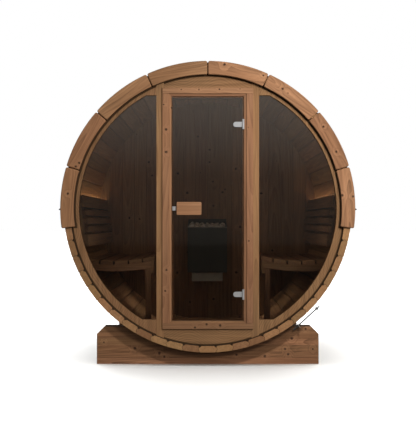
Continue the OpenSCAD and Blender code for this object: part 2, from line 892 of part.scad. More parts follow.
module bench_slats_left() { mirror([1, 0, 0]) bench_slats(); }
module bench_slats_right() { bench_slats(); }
module bench_frames_left() { mirror([1, 0, 0]) bench_frames(); }
module bench_frames_right() { bench_frames(); }
module bench_aprons() { both_sides() bench_apron(); }

// Backrests

module backrest() {
    color(inside_wood) along_y(back_y0, back_y1) for (k = [0:4])
        translate(back_centre) rotate(back_angles[k]) translate([back_r - back_t, -back_heights[k] / 2])
            square([back_t, back_heights[k]]);
}

// Section of a batten, from the backs of the boards to the staves
module batten_section() {
    front = flats(back_centre, back_r - back_t, back_angles, back_first, batten_last);
    top = front[len(front) - 1][1];
    bottom = front[0][1];
    intersection() {
        polygon(concat(front, [[barrel_r, top], [barrel_r, bottom]]));
        stave_outline(inner_r - joint_gap);
    }
}

module backrest_battens() {
    for (y = [back_y0, front_y1 + batten_mid, back_y1 - batten_w])
        color(inside_wood) both_sides() along_y(y, y + batten_w) batten_section();
}

// Light strips, laid on the battens behind the top boards
module light_strips() {
    ends = flats(back_centre, back_r - back_t, back_angles, back_first, batten_last);
    seat = ends[len(ends) - 1];
    color("#ffe2b0") both_sides() along_y(back_y0, back_y1) translate(seat + [light_clear, 0])
        square([light_w, light_h]);
}

module backrest_left() { mirror([1, 0, 0]) backrest(); }
module backrest_right() { backrest(); }

// Heater

// Extrudes a side profile, drawn with y to the right and z up from the axis, across the heater
module across_heater(w) {
    translate([heater_x - w / 2, 0, axis_z]) rotate([90, 0, 90]) linear_extrude(w) children();
}

module heater_case() {
    s = heater_sheet;
    color(grey_enamel) difference() {
        across_heater(heater_w) polygon([[heater_y0, -heater_top - heater_h], [rear_y0, -heater_top - heater_h],
            [rear_y0, heater_rise - heater_top], [rear_y0 - s, heater_rise - heater_top],
            [heater_y0 + s, -heater_top], [heater_y0, -heater_top]]);
        across_heater(heater_w - 2 * s) translate([heater_y0 + s, tray_floor])
            square([heater_d - 2 * s, tray_depth + heater_rise + s]);
    }
}

// Loose stones in rows, each row on its own step of the bed that fills the tray
module heater_stones() {
    s = heater_sheet + joint_gap;
    y0 = heater_y0 + s;
    y1 = rear_y0 - s;
    bed_low = 8;
    bed_front = -heater_top - stone_r - bed_low;
    bed_step = 6;
    stone_gap = 3;
    spacing = 2 * stone_r + stone_gap;
    columns = floor((heater_w - 2 * s) / spacing);
    rows = floor((y1 - y0) / spacing);
    dx = (heater_w - 2 * s) / columns;
    dy = (y1 - y0) / rows;
    sides = 7;
    turn_x = 37;
    turn_y = 53;
    foot = stone_r * cos(180 / (sides + 1));
    steps = [for (j = [0:rows - 1], end = [0, 1]) [y0 + (j + end) * dy, bed_front + j * bed_step]];
    color("#b9b3a6") {
        across_heater(heater_w - 2 * s) polygon(concat(steps,
            [[y1, tray_floor + joint_gap], [y0, tray_floor + joint_gap]]));
        for (i = [0:columns - 1], j = [0:rows - 1])
            translate([heater_x + (i + 0.5) * dx - heater_w / 2 + s, y0 + (j + 0.5) * dy,
                axis_z + bed_front + j * bed_step + foot + joint_gap])
                rotate(turn_x * i + turn_y * j) sphere(stone_r, $fn = sides);
    }
}

module heater_unit() {
    top = -heater_top - heater_h;
    color("#a39d90") across_heater(unit_w) translate([heater_y0 + unit_in, top - unit_h])
        square([heater_d - unit_in, unit_h]);
}

// Drawing

staves_floor();
staves_lower_left();
staves_lower_right();
staves_side_left();
staves_side_right();
staves_upper_left();
staves_upper_right();
staves_crown();
trim_front();
trim_rear();
front_rims();
front_stiles();
front_top_panel();
front_bottom_panel();
windows();
door_casing();
door_lining();
door_glass();
door_handle();
door_latch();
hinge_clamps();
hinge_flanges();
back_wall();
vent();
roof_cover();
drip_edges();
band_front();
band_rear();
band_rods();
cradle_front();
cradle_rear();
bench_slats_left();
bench_slats_right();
bench_frames_left();
bench_frames_right();
bench_aprons();
backrest_left();
backrest_right();
backrest_battens();
light_strips();
heater_case();
heater_stones();
heater_unit();
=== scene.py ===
import math
import random

import bmesh
import bpy
from mathutils import Matrix, Vector


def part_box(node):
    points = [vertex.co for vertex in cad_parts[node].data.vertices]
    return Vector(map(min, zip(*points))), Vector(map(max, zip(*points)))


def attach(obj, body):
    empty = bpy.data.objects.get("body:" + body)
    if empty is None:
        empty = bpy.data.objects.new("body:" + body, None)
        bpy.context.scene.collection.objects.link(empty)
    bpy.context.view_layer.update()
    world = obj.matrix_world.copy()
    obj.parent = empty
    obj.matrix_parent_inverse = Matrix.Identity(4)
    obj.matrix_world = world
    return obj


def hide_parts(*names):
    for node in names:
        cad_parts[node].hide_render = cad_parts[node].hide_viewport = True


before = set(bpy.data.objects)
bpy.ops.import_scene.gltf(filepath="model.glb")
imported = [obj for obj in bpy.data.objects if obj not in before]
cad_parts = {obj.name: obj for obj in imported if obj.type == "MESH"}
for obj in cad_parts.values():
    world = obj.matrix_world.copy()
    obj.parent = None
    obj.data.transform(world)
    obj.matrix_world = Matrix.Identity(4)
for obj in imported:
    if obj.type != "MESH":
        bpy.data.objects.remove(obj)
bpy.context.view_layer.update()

# Cradles: two beams glued up from flat boards of heat-treated spruce, planed, oiled dark and sawn
# out on top to the barrel's curve. The barrel rests in them by its own weight.


def fill(tree, node, sockets):
    """Fills a node's inputs with values or with other nodes' outputs."""
    for key, value in sockets.items():
        if isinstance(value, bpy.types.NodeSocket):
            tree.links.new(value, node.inputs[key])
        else:
            node.inputs[key].default_value = value


def put(tree, kind, sockets=None, **settings):
    """Adds a node to a tree, sets it and fills its inputs."""
    made = tree.nodes.new(kind)
    for key, value in settings.items():
        setattr(made, key, value)
    fill(tree, made, sockets or {})
    return made


def maths(tree, operation, *values):
    """A Math node's output for the given values."""
    return put(tree, "ShaderNodeMath", dict(enumerate(values)), operation=operation).outputs[0]


def scaled(tree, *values):
    """The product of two values, plus a third where one is given."""
    return maths(tree, "MULTIPLY_ADD" if len(values) == 3 else "MULTIPLY", *values)


def fade(tree, value, start, stop):
    """A smooth step from 0 at start to 1 at stop."""
    sockets = {"Value": value, "From Min": start, "From Max": stop}
    made = put(tree, "ShaderNodeMapRange", sockets, interpolation_type="SMOOTHSTEP")
    return made.outputs["Result"]


def noise(tree, place, scale, detail):
    """Cloudy noise from 0 to 1."""
    sockets = {"Vector": place, "Scale": scale, "Detail": detail}
    return put(tree, "ShaderNodeTexNoise", sockets).outputs[0]


def blend_colours(tree, share, first, second):
    """Mixes two colours, where share says how much of the second shows."""
    first, second = [colour if isinstance(colour, bpy.types.NodeSocket) else (*colour, 1.0)
                     for colour in (first, second)]
    sockets = {0: share, 6: first, 7: second}
    return put(tree, "ShaderNodeMix", sockets, data_type="RGBA").outputs[2]


def on_object(tree):
    """The place on the piece, in metres."""
    return put(tree, "ShaderNodeTexCoord").outputs["Object"]


def carried(tree, label):
    """A number that the mesh carries under a name."""
    return put(tree, "ShaderNodeAttribute", attribute_name=label).outputs["Fac"]


def new_finish(name):
    """A plain material, with its node tree and its shader."""
    finish = bpy.data.materials.new(name)
    finish.use_nodes = True
    return finish, finish.node_tree, finish.node_tree.nodes["Principled BSDF"]


def relief(tree, shader, height, strength, distance):
    """Gives a finish a fine relief of the given height."""
    sockets = {"Height": height, "Strength": strength, "Distance": distance}
    fill(tree, shader, {"Normal": put(tree, "ShaderNodeBump", sockets).outputs["Normal"]})


# Loose knots: cells per metre along and across the grain that hold one at most, their shape, their
# least radius and spread, and where halo and core fade in, counted in radii from the middle
KNOT_CELLS = (3.2, 9.0, 1.0)
KNOT_SHAPE = (0.75, 1.0, 0.0)
KNOT_LEAST = 0.004
KNOT_SPREAD = 0.005
KNOT_HALO = (3.6, 0.6)
KNOT_CORE = (0.95, 0.35)
KNOT_RAGGED = 0.9
KNOT_COLOUR = (0.035, 0.017, 0.010)
NO_KNOT = 100.0
RINGS_ROUND_KNOT = 0.014
# Rates per metre along, across and through the board, and the noise levels where some fade in
RAGGED_RATES = (90.0, 90.0, 90.0)
STREAK_RATES = (2.5, 60.0, 60.0)
STREAK_FADE = (0.32, 0.68)
FIBRE_RATES = (18.0, 420.0, 420.0)
PATCH_RATES = (1.6, 6.0, 6.0)
PATCH_FADE = (0.3, 0.7)
# Late wood darkens towards the end of each ring, and finer lines run between the rings
LATE_EDGE = 1.8
FINE_RINGS = 4.3
# How much each adds to the shade, from the pale colour to the dark one
LATE_SHADE = 0.46
STREAK_SHADE = 0.36
FIBRE_SHADE = 0.3
FINE_SHADE = 0.16
# How far the pale, the dark and the red wood lie from the middle colour
PALER = 0.34
DARKER = 0.42
REDDER = (0.95, 0.78, 0.68)
RED_SHARE = 0.3
HALO_SHARE = 0.3
CORE_SHARE = 0.93
# How much full painted shade darkens the wood
PAINTED_SHADE_SHARE = 0.92
# Boards swing a little from red to yellow, by their tone, and late wood is harder and smoother
HUE_SHUFFLE = 7.3
HUE_SWING = 0.03
HUE_RED = 0.018
ROUGHNESS = 0.68
LATE_SMOOTHER = 0.12


def spruce(name, colour, ring=0.010, wobble=0.035, knot_share=0.25, knots=(), end_tint=0.9,
           sway=(1.5, 9.0), variety=0.36, contrast=1.0, waves=None, darkness=None):
    """Heat-treated spruce: growth rings round a pith beside the board, streaks, fibres and knots.

    Each board carries its places from the pith, along, across and through it, as the grain
    attribute. Knots fall at random, and also at the given places of x, z and radius as seen from
    the front. The grain sways at two rates, along and across, and curly boards roll in waves of a
    height and rate. Boards differ by the given variety of tone. Faces marked with painted shade are
    darkened, and the last function adds nodes that say where the wood is painted dark."""
    finish, tree, shader = new_finish(name)
    place = on_object(tree)
    grain = put(tree, "ShaderNodeAttribute", attribute_name="grain").outputs["Vector"]
    tone, end, painted_shade = [carried(tree, label) for label in ("tone", "end", "painted_shade")]

    def vector(operation, *values):
        made = put(tree, "ShaderNodeVectorMath", dict(enumerate(values)), operation=operation)
        return made.outputs["Value" if operation == "LENGTH" else "Vector"]

    def stretched(rates, detail):
        return noise(tree, vector("MULTIPLY", grain, rates), 1.0, detail)

    cells = vector("MULTIPLY", grain, KNOT_CELLS)
    cell = put(tree, "ShaderNodeTexVoronoi", {"Vector": cells, "Scale": 1.0},
               voronoi_dimensions="2D").outputs
    lot = put(tree, "ShaderNodeSeparateColor", {0: cell["Color"]}).outputs
    offset = vector("DIVIDE", vector("SUBTRACT", cells, cell["Position"]), KNOT_CELLS)
    radius = scaled(tree, lot[1], KNOT_SPREAD, KNOT_LEAST)
    far = maths(tree, "DIVIDE", vector("LENGTH", vector("MULTIPLY", offset, KNOT_SHAPE)), radius)
    absent = maths(tree, "GREATER_THAN", lot[0], knot_share)
    far = scaled(tree, absent, NO_KNOT, far)
    for x, z, radius in knots:
        apart = vector("MULTIPLY", vector("SUBTRACT", place, (x, 0.0, z)), (1.0, 0.0, 1.0))
        far = maths(tree, "MINIMUM", far, maths(tree, "DIVIDE", vector("LENGTH", apart), radius))
    halo = fade(tree, far, *KNOT_HALO)
    far = maths(tree, "SUBTRACT", far, KNOT_RAGGED / 2)
    far = scaled(tree, stretched(RAGGED_RATES, detail=2.0), KNOT_RAGGED, far)
    core = fade(tree, far, *KNOT_CORE)

    wave = stretched((sway[0], sway[1], sway[1]), detail=1.0)
    wave = scaled(tree, wave, wobble, -wobble / 2)
    if waves:
        parts = put(tree, "ShaderNodeSeparateXYZ", {0: grain}).outputs
        roll = maths(tree, "SINE", scaled(tree, parts["X"], waves[1]))
        reach = scaled(tree, roll, waves[0], parts["Y"])
    else:
        reach = vector("LENGTH", vector("MULTIPLY", grain, (0.0, 1.0, 1.0)))
    wave = scaled(tree, halo, RINGS_ROUND_KNOT, wave)
    reach = maths(tree, "ADD", reach, wave)
    late = maths(tree, "FRACT", maths(tree, "DIVIDE", reach, ring))
    late = maths(tree, "POWER", late, LATE_EDGE)
    lines = maths(tree, "FRACT", maths(tree, "DIVIDE", reach, ring / FINE_RINGS))
    streaks = fade(tree, stretched(STREAK_RATES, detail=4.0), *STREAK_FADE)
    fibres = stretched(FIBRE_RATES, detail=2.0)
    patches = fade(tree, stretched(PATCH_RATES, detail=2.0), *PATCH_FADE)

    pale = [c * (1 + PALER * contrast) for c in colour]
    dark = [c * (1 - DARKER * contrast) for c in colour]
    red = [c * share for c, share in zip(colour, REDDER)]
    shade = scaled(tree, late, LATE_SHADE)
    shade = scaled(tree, streaks, STREAK_SHADE, shade)
    shade = maths(tree, "SUBTRACT", shade, FIBRE_SHADE / 2)
    shade = scaled(tree, fibres, FIBRE_SHADE, shade)
    shade = scaled(tree, lines, FINE_SHADE, shade)
    tint = blend_colours(tree, shade, pale, dark)
    for where, share, other in ((patches, RED_SHARE, red), (halo, HALO_SHARE, pale),
                                (core, CORE_SHARE, KNOT_COLOUR)):
        tint = blend_colours(tree, scaled(tree, where, share), tint, other)
    value = scaled(tree, tone, variety, 1.0 - variety / 2)
    # Sawn ends are darker, and painted shade darkens the marked faces and the places the last
    # function gives
    darkenings = [(end, 1.0 - end_tint), (painted_shade, PAINTED_SHADE_SHARE)]
    if darkness:
        darkenings.append((darkness(tree, place, end), PAINTED_SHADE_SHARE))
    for where, share in darkenings:
        value = scaled(tree, value, scaled(tree, where, -share, 1.0))
    swing = maths(tree, "FRACT", scaled(tree, tone, HUE_SHUFFLE))
    hue = scaled(tree, swing, HUE_SWING * variety, 0.5 - HUE_RED * variety)
    sockets = {"Hue": hue, "Value": value, "Color": tint}
    tint = put(tree, "ShaderNodeHueSaturation", sockets).outputs[0]
    roughness = scaled(tree, late, -LATE_SMOOTHER, ROUGHNESS)
    fill(tree, shader, {"Base Color": tint, "Roughness": roughness, "Specular IOR Level": 0.25})
    relief(tree, shader, scaled(tree, late, 0.5, fibres), strength=0.25, distance=0.001)
    return finish


def islands(shape):
    """Groups of a mesh's vertices that hang together, in the order of their first vertex."""
    seen = set()
    for start in shape.verts:
        if start in seen:
            continue
        group, edge = [], [start]
        seen.add(start)
        while edge:
            vert = edge.pop()
            group.append(vert)
            for link in vert.link_edges:
                other = link.other_vert(vert)
                if other not in seen:
                    seen.add(other)
                    edge.append(other)
        yield group


def cut_layers(shape, heights):
    """Saws a mesh into separate closed layers at the given heights."""
    whole = bpy.data.meshes.new("whole")
    shape.to_mesh(whole)
    shape.clear()
    bounds = [None, *heights, None]
    for low, high in zip(bounds, bounds[1:]):
        layer = bmesh.new()
        layer.from_mesh(whole)
        for height, side in ((low, "clear_inner"), (high, "clear_outer")):
            if height is None:
                continue
            geometry = [*layer.verts, *layer.edges, *layer.faces]
            made = bmesh.ops.bisect_plane(layer, geom=geometry, plane_co=(0, 0, height),
                                          plane_no=(0, 0, 1), **{side: True})
            rim = [e for e in made["geom_cut"] if isinstance(e, bmesh.types.BMEdge)]
            bmesh.ops.edgenet_fill(layer, edges=rim)
        cut = bpy.data.meshes.new("layer")
        layer.to_mesh(cut)
        shape.from_mesh(cut)
        bpy.data.meshes.remove(cut)
        layer.free()
    bpy.data.meshes.remove(whole)


MERGE = 1e-5
FLAT = math.radians(0.4)
SHARP = math.radians(32)
SQUARE_ON = 0.9


def merged_solid(node, layers):
    """A copy of a solid of the frame with its flat faces joined, sawn into layers where asked."""
    shape = bmesh.new()
    shape.from_mesh(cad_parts[node].data)
    bmesh.ops.remove_doubles(shape, verts=shape.verts, dist=MERGE)
    bmesh.ops.dissolve_limit(shape, angle_limit=FLAT, verts=shape.verts, edges=shape.edges)
    if layers:
        cut_layers(shape, layers)
    bmesh.ops.recalc_face_normals(shape, faces=shape.faces)
    return shape


def ease_edges(shape, ease):
    """Rounds a shape's sharp edges, and shades each round and each run of flat faces smooth."""
    rounds = set()
    if ease:
        sharp = [e for e in shape.edges if len(e.link_faces) == 2 and e.calc_face_angle() > SHARP]
        made = bmesh.ops.bevel(shape, geom=sharp, offset=ease, segments=2, profile=0.5,
                               affect="EDGES")
        rounds = set(made["faces"])
    for face in shape.faces:
        face.smooth = True
    for edge in shape.edges:
        sides = [face in rounds for face in edge.link_faces]
        flat = edge.is_manifold and edge.calc_face_angle() < SHARP
        edge.smooth = len(sides) == 2 and sides[0] == sides[1] and (sides[0] or flat)


# Where a board was sawn in its trunk: along it, beside the pith, away from it, and its tilt
TRUNK_RUN = 40
PITH_ASIDE = 0.04
PITH_AWAY = (0.03, 0.1)
TILT_ASIDE = 0.03
TILT_AWAY = 0.04
END_GRAIN = 0.8


def lay_grain(shape, lay, painted_shade, draw):
    """Gives each board its own place in a trunk and its tone, and marks sawn ends and painted
    shade.
    """
    grain = shape.verts.layers.float_vector.new("grain")
    tone = shape.verts.layers.float.new("tone")
    end = shape.faces.layers.float.new("end")
    shade_layer = shape.faces.layers.float.new("painted_shade")
    for group in islands(shape):
        low = Vector([min(v.co[i] for v in group) for i in range(3)])
        high = Vector([max(v.co[i] for v in group) for i in range(3)])
        along, through = lay((low + high) / 2, high - low)
        across = through.cross(along)
        start = Vector((draw.uniform(0, TRUNK_RUN), draw.uniform(-PITH_ASIDE, PITH_ASIDE),
                        draw.choice((-1, 1)) * draw.uniform(*PITH_AWAY)))
        tilt = Vector((0, draw.uniform(-TILT_ASIDE, TILT_ASIDE),
                       draw.uniform(-TILT_AWAY, TILT_AWAY)))
        share = draw.random()
        for vert in group:
            place = vert.co - (low + high) / 2
            place = Vector((place @ along, place @ across, place @ through))
            vert[grain] = start + place + tilt * place.x
            vert[tone] = share
        for face in {f for v in group for f in v.link_faces}:
            face[end] = float(abs(face.normal @ along) > END_GRAIN)
            # Painted shade on each face, as the given function says
            face[shade_layer] = painted_shade(face.calc_center_median(), face.normal)


def by_length(centre, size):
    """Lays the grain along a board's longest side and counts its thickness along its shortest."""
    order = sorted(range(3), key=lambda i: size[i])
    axes = Matrix.Identity(3)
    return Vector(axes[order[2]]), Vector(axes[order[0]])


def unshaded(centre, normal):
    """No part of the piece is darker than the rest."""
    return 0.0


def set_up(name, data):
    """Puts a mesh, lamp or camera in the scene."""
    made = bpy.data.objects.new(name, data)
    bpy.context.scene.collection.objects.link(made)
    return made


def eased_copy(piece, nodes, finish, ease=0.0015, body="cabin", lay=by_length, layers=(),
               seed=1, painted_shade=unshaded):
    """Copies solids of the frame as one piece, rounds their edges and gives each its own grain.

    The last function says how much painted shade a face at a place gets, from 0 to 1."""
    draw = random.Random(seed)
    mesh = bpy.data.meshes.new(piece)
    whole = bmesh.new()
    for node in nodes:
        shape = merged_solid(node, layers)
        ease_edges(shape, ease)
        lay_grain(shape, lay, painted_shade, draw)
        shape.to_mesh(mesh)
        whole.from_mesh(mesh)
        shape.free()
    whole.to_mesh(mesh)
    whole.free()
    mesh.materials.append(finish)
    copy = set_up(piece, mesh)
    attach(copy, body)
    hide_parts(*nodes)
    return copy


LAMELLA = 0.0452
THINNEST_LAMELLA = 0.005
# Painted shadow of the barrel on the cradles' upper side: how dark, and how far down from the top
TOP_SHADE_SHARE = 0.65
TOP_SHADE_DEPTH = 0.03
cradle_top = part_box("cradle_front")[1].z
lamella_joints = [LAMELLA * i for i in range(1, int(cradle_top / LAMELLA) + 1)
                  if cradle_top - LAMELLA * i > THINNEST_LAMELLA]
CRADLE_KNOTS = [(0.60, 0.183, 0.015), (0.75, 0.107, 0.012), (0.574, 0.069, 0.013),
                (0.407, 0.056, 0.013), (0.205, 0.066, 0.012), (0.697, 0.25, 0.011),
                (0.552, 0.107, 0.011), (-0.31, 0.052, 0.012), (-0.52, 0.112, 0.015),
                (-0.345, 0.078, 0.014), (-0.37, 0.215, 0.015), (-0.74, 0.155, 0.01)]


def faced_front(centre, size):
    """Lays the grain across the front, with the board's thickness counted from the front."""
    return Vector((1, 0, 0)), Vector((0, 1, 0))


def shaded_top(centre, normal):
    """The upper side is painted dark, as shade that the barrel casts on it."""
    under_barrel = normal.z > SQUARE_ON and centre.z > cradle_top - TOP_SHADE_DEPTH
    return TOP_SHADE_SHARE if under_barrel else 0.0


cradle_finish = spruce("dark_oiled_glulam", (0.180, 0.093, 0.045), ring=0.008, wobble=0.02,
                       knot_share=0.0, knots=CRADLE_KNOTS, variety=0.42, contrast=1.6)
cradles = eased_copy("cradles", ["cradle_front", "cradle_rear"], cradle_finish,
                     ease=0.0014, lay=faced_front, layers=lamella_joints, seed=4,
                     painted_shade=shaded_top)

# Staves: 54 planed boards with a bead on one edge and a cove on the other, which fit into one
# another round the barrel. They are heat-treated spruce, oiled, and show sawn ends at the front.
STAVE_ROWS = ("floor", "lower_left", "lower_right", "side_left", "side_right", "upper_left",
              "upper_right", "crown")
STAVE_PITCH = math.radians(360 / 54)
STAVE_OUT = 1.010
STAVE_IN = 0.965
BEAD_RADIUS = 0.019
BEAD_OUT = 0.008
BEAD_START = -0.001
SEAM_FADE = (0.0026, 0.0008)
SEAM_SHARE = 0.75
# Painted shade in the notch at the inner edge of each joint
NOTCH_SHADE_FADE = (0.0145, 0.0115)
# Painted shade on the chamfers and on the lip in the recess in front of the wall
CHAMFER_LEAN = (0.4, 0.9)
LIP_LEAN = -0.3
CHAMFER_SHADE = 0.85
INSIDE_CHAMFER_SHADE = 0.3
trim_low, trim_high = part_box("trim_front")
axis_height = trim_high.z - (trim_high.x - trim_low.x) / 2
wall_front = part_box("front_rims")[0].y


def shaded_lip_and_chamfers(centre, normal):
    """Painted shade on the lip in front of the wall, down in its recess, and on the chamfers along
    the joints, fainter on the inside chamfers behind the wall.
    """
    out = Vector((centre.x, 0, centre.z - axis_height)).normalized()
    lean = normal @ out
    in_front = centre.y < wall_front
    if in_front and lean < LIP_LEAN:
        return 1.0
    if CHAMFER_LEAN[0] < abs(lean) < CHAMFER_LEAN[1] and abs(normal.y) < 0.5:
        return CHAMFER_SHADE if in_front or lean > 0 else INSIDE_CHAMFER_SHADE
    return 0.0


def from_axis(tree, place):
    """Distance from the barrel's axis, and the turn from the barrel's bottom up either side."""
    parts = put(tree, "ShaderNodeSeparateXYZ", {0: place}).outputs
    x, drop = parts["X"], maths(tree, "SUBTRACT", axis_height, parts["Z"])
    out = scaled(tree, x, x, scaled(tree, drop, drop))
    turn = maths(tree, "ARCTAN2", maths(tree, "ABSOLUTE", x), drop)
    return maths(tree, "SQRT", out), turn


def joint_lines_and_notch_shade(tree, place, end):
    """On the sawn ends, a dark joint line follows each bead, and painted shade widens it to a notch
    at the inner edge, where the groove between two staves lies in shadow.
    """
    out, turn = from_axis(tree, place)
    count = maths(tree, "SUBTRACT", maths(tree, "DIVIDE", turn, STAVE_PITCH), 0.5)
    count = maths(tree, "SUBTRACT", count, maths(tree, "ROUND", count))
    above = scaled(tree, scaled(tree, count, STAVE_PITCH), out)
    off = maths(tree, "ABSOLUTE", above)
    mid = maths(tree, "SUBTRACT", out, (STAVE_OUT + STAVE_IN) / 2)
    lift = maths(tree, "ADD", above, BEAD_RADIUS - BEAD_OUT)
    bead = scaled(tree, lift, lift, scaled(tree, mid, mid))
    bead = maths(tree, "SUBTRACT", maths(tree, "SQRT", bead), BEAD_RADIUS)
    bead = maths(tree, "ABSOLUTE", bead)
    half = math.sqrt(BEAD_RADIUS ** 2 - (BEAD_RADIUS - BEAD_OUT) ** 2)
    on_bead = maths(tree, "LESS_THAN", maths(tree, "ABSOLUTE", mid), half)
    bead = maths(tree, "ADD", bead, maths(tree, "LESS_THAN", above, BEAD_START))
    line = put(tree, "ShaderNodeMix", {0: on_bead, 2: off, 3: bead}).outputs[0]
    edge = maths(tree, "SUBTRACT", out, STAVE_IN)
    notch_shade = fade(tree, maths(tree, "ADD", off, edge), *NOTCH_SHADE_FADE)
    seam = scaled(tree, fade(tree, line, *SEAM_FADE), SEAM_SHARE)
    return scaled(tree, maths(tree, "MAXIMUM", seam, notch_shade), end)


stave_finish = spruce("oiled_stave_spruce", (0.378, 0.208, 0.097), end_tint=0.98, variety=0.4,
                      darkness=joint_lines_and_notch_shade)
staves = eased_copy("staves", [f"staves_{row}" for row in STAVE_ROWS], stave_finish,
                    ease=0, seed=11, painted_shade=shaded_lip_and_chamfers)

# Steel bands: bright stainless strip round each end of the barrel. The turned-out ends are pulled
# together by a threaded rod with a washer and a nut behind each ear.
BRUSHING = (900.0, 900.0, 40.0)
BRUSH_SPREAD = 0.2


def brushed_steel(name, colour, roughness, metallic=1.0):
    """Satin stainless with fine brushing, less metallic where it is blasted to a dull white."""
    finish, tree, shader = new_finish(name)
    place = on_object(tree)
    stretched = put(tree, "ShaderNodeMapping", {"Vector": place, "Scale": BRUSHING})
    brush = noise(tree, stretched.outputs["Vector"], scale=1.0, detail=2.0)
    worn = noise(tree, place, scale=30.0, detail=3.0)
    tint = blend_colours(tree, worn, [0.8 * c for c in colour], colour)
    rough = scaled(tree, brush, BRUSH_SPREAD, roughness - BRUSH_SPREAD / 2)
    fill(tree, shader, {"Base Color": tint, "Roughness": rough, "Metallic": metallic})
    relief(tree, shader, brush, strength=0.1, distance=0.0005)
    return finish


def finish_nodes(finish, *nodes):
    """Gives solids of the frame a finish of their own."""
    for node in nodes:
        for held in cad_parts[node].material_slots:
            held.material = finish


def form(tree, kind, **sockets):
    """The geometry that a node makes or changes. Its inputs are named with underscores."""
    named = {label.replace("_", " "): value for label, value in sockets.items()}
    return put(tree, "GeometryNode" + kind, named).outputs[0]


def xyz(tree, **parts):
    """A vector from its X, Y and Z, where a part that is left out is 0."""
    return put(tree, "ShaderNodeCombineXYZ", parts).outputs[0]


def joined(tree, shapes):
    """One geometry made of several."""
    whole = put(tree, "GeometryNodeJoinGeometry")
    for shape in shapes:
        tree.links.new(shape, whole.inputs[0])
    return whole.outputs[0]


def grow(piece, build, sizes, finish, replaced=()):
    """Makes a piece of the cabin with Geometry Nodes, in a tree with a named input for each size.

    The given function adds the tree's own nodes. The piece is left as a plain mesh."""
    tree = bpy.data.node_groups.new(build.__name__, "GeometryNodeTree")
    for label, value in sizes.items():
        kind = "NodeSocketInt" if isinstance(value, int) else "NodeSocketFloat"
        tree.interface.new_socket(label, in_out="INPUT", socket_type=kind)
    tree.interface.new_socket("Geometry", in_out="OUTPUT", socket_type="NodeSocketGeometry")
    real = form(tree, "RealizeInstances", Geometry=build(tree, put(tree, "NodeGroupInput").outputs))
    put(tree, "NodeGroupOutput", {0: form(tree, "SetMaterial", Geometry=real, Material=finish)})
    made = set_up(piece, bpy.data.meshes.new(piece))
    growth = made.modifiers.new("growth", "NODES")
    growth.node_group = tree
    for item in tree.interface.items_tree:
        if item.in_out == "INPUT":
            growth[item.identifier] = sizes[item.name]
    ready = made.evaluated_get(bpy.context.evaluated_depsgraph_get())
    grown = bpy.data.meshes.new_from_object(ready)
    made.modifiers.clear()
    made.data = grown
    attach(made, "cabin")
    if replaced:
        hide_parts(*replaced)


ROD_ANGLE = math.radians(42.533)
RIDGE_TO_PITCH = 0.6
ROD_SIZES = {"Length": 0.250, "Radius": 0.005, "Thread Pitch": 0.0015, "Slip": 0.009,
             "Ear Gap": 0.168, "Ear Thickness": 0.003, "Nut Radius": 0.0098, "Nut Height": 0.008,
             "Washer Radius": 0.0105, "Washer Height": 0.002, "Out": 1.043, "Bands Apart": 1.358}


def threaded_rods(tree, size):
    """A rod at each band: a bar with a thread wound on it, and a washer and a nut at each ear."""
    ridge_radius = scaled(tree, size["Thread Pitch"], RIDGE_TO_PITCH)
    core = maths(tree, "SUBTRACT", size["Radius"], ridge_radius)
    turns = maths(tree, "DIVIDE", size["Length"], size["Thread Pitch"])
    helix = form(tree, "CurveSpiral", Resolution=12, Rotations=turns, Start_Radius=core,
                 End_Radius=core, Height=size["Length"])
    ridge = form(tree, "CurvePrimitiveCircle", Resolution=4, Radius=ridge_radius)
    thread = form(tree, "CurveToMesh", Curve=helix, Profile_Curve=ridge, Fill_Caps=True)
    bar = form(tree, "MeshCylinder", Vertices=16, Radius=core, Depth=size["Length"])
    slip = scaled(tree, size["Slip"], -1.0)
    low = scaled(tree, size["Length"], -0.5, slip)
    parts = [(thread, low), (bar, slip)]
    face = scaled(tree, size["Ear Gap"], 0.5, size["Ear Thickness"])
    for fastener, corners in (("Washer", 24), ("Nut", 6)):
        height = size[fastener + " Height"]
        ring = form(tree, "MeshCylinder", Vertices=corners, Radius=size[fastener + " Radius"],
                    Depth=height)
        middle = scaled(tree, height, 0.5, face)
        parts += [(ring, scaled(tree, middle, side)) for side in (1.0, -1.0)]
        face = maths(tree, "ADD", face, height)
    rod = joined(tree, [form(tree, "Transform", Geometry=part, Translation=xyz(tree, Z=shift))
                        for part, shift in parts])
    across = scaled(tree, size["Out"], math.sin(ROD_ANGLE))
    front = scaled(tree, size["Bands Apart"], -0.5)
    height = scaled(tree, size["Out"], -math.cos(ROD_ANGLE), axis_height)
    places = form(tree, "MeshLine", Count=2, Start_Location=xyz(tree, X=across, Y=front, Z=height),
                  Offset=xyz(tree, Y=size["Bands Apart"]))
    return form(tree, "InstanceOnPoints", Points=places, Instance=rod,
                Rotation=(0.0, math.pi / 2 - ROD_ANGLE, 0.0))


band_finish = brushed_steel("bright_band_steel", (0.72, 0.72, 0.71), roughness=0.36, metallic=0.5)
rod_finish = brushed_steel("dull_rod_steel", (0.15, 0.15, 0.15), roughness=0.45, metallic=0.5)
finish_nodes(band_finish, "band_front", "band_rear")
grow("tension_rods", threaded_rods, ROD_SIZES, rod_finish, ["band_rods"])

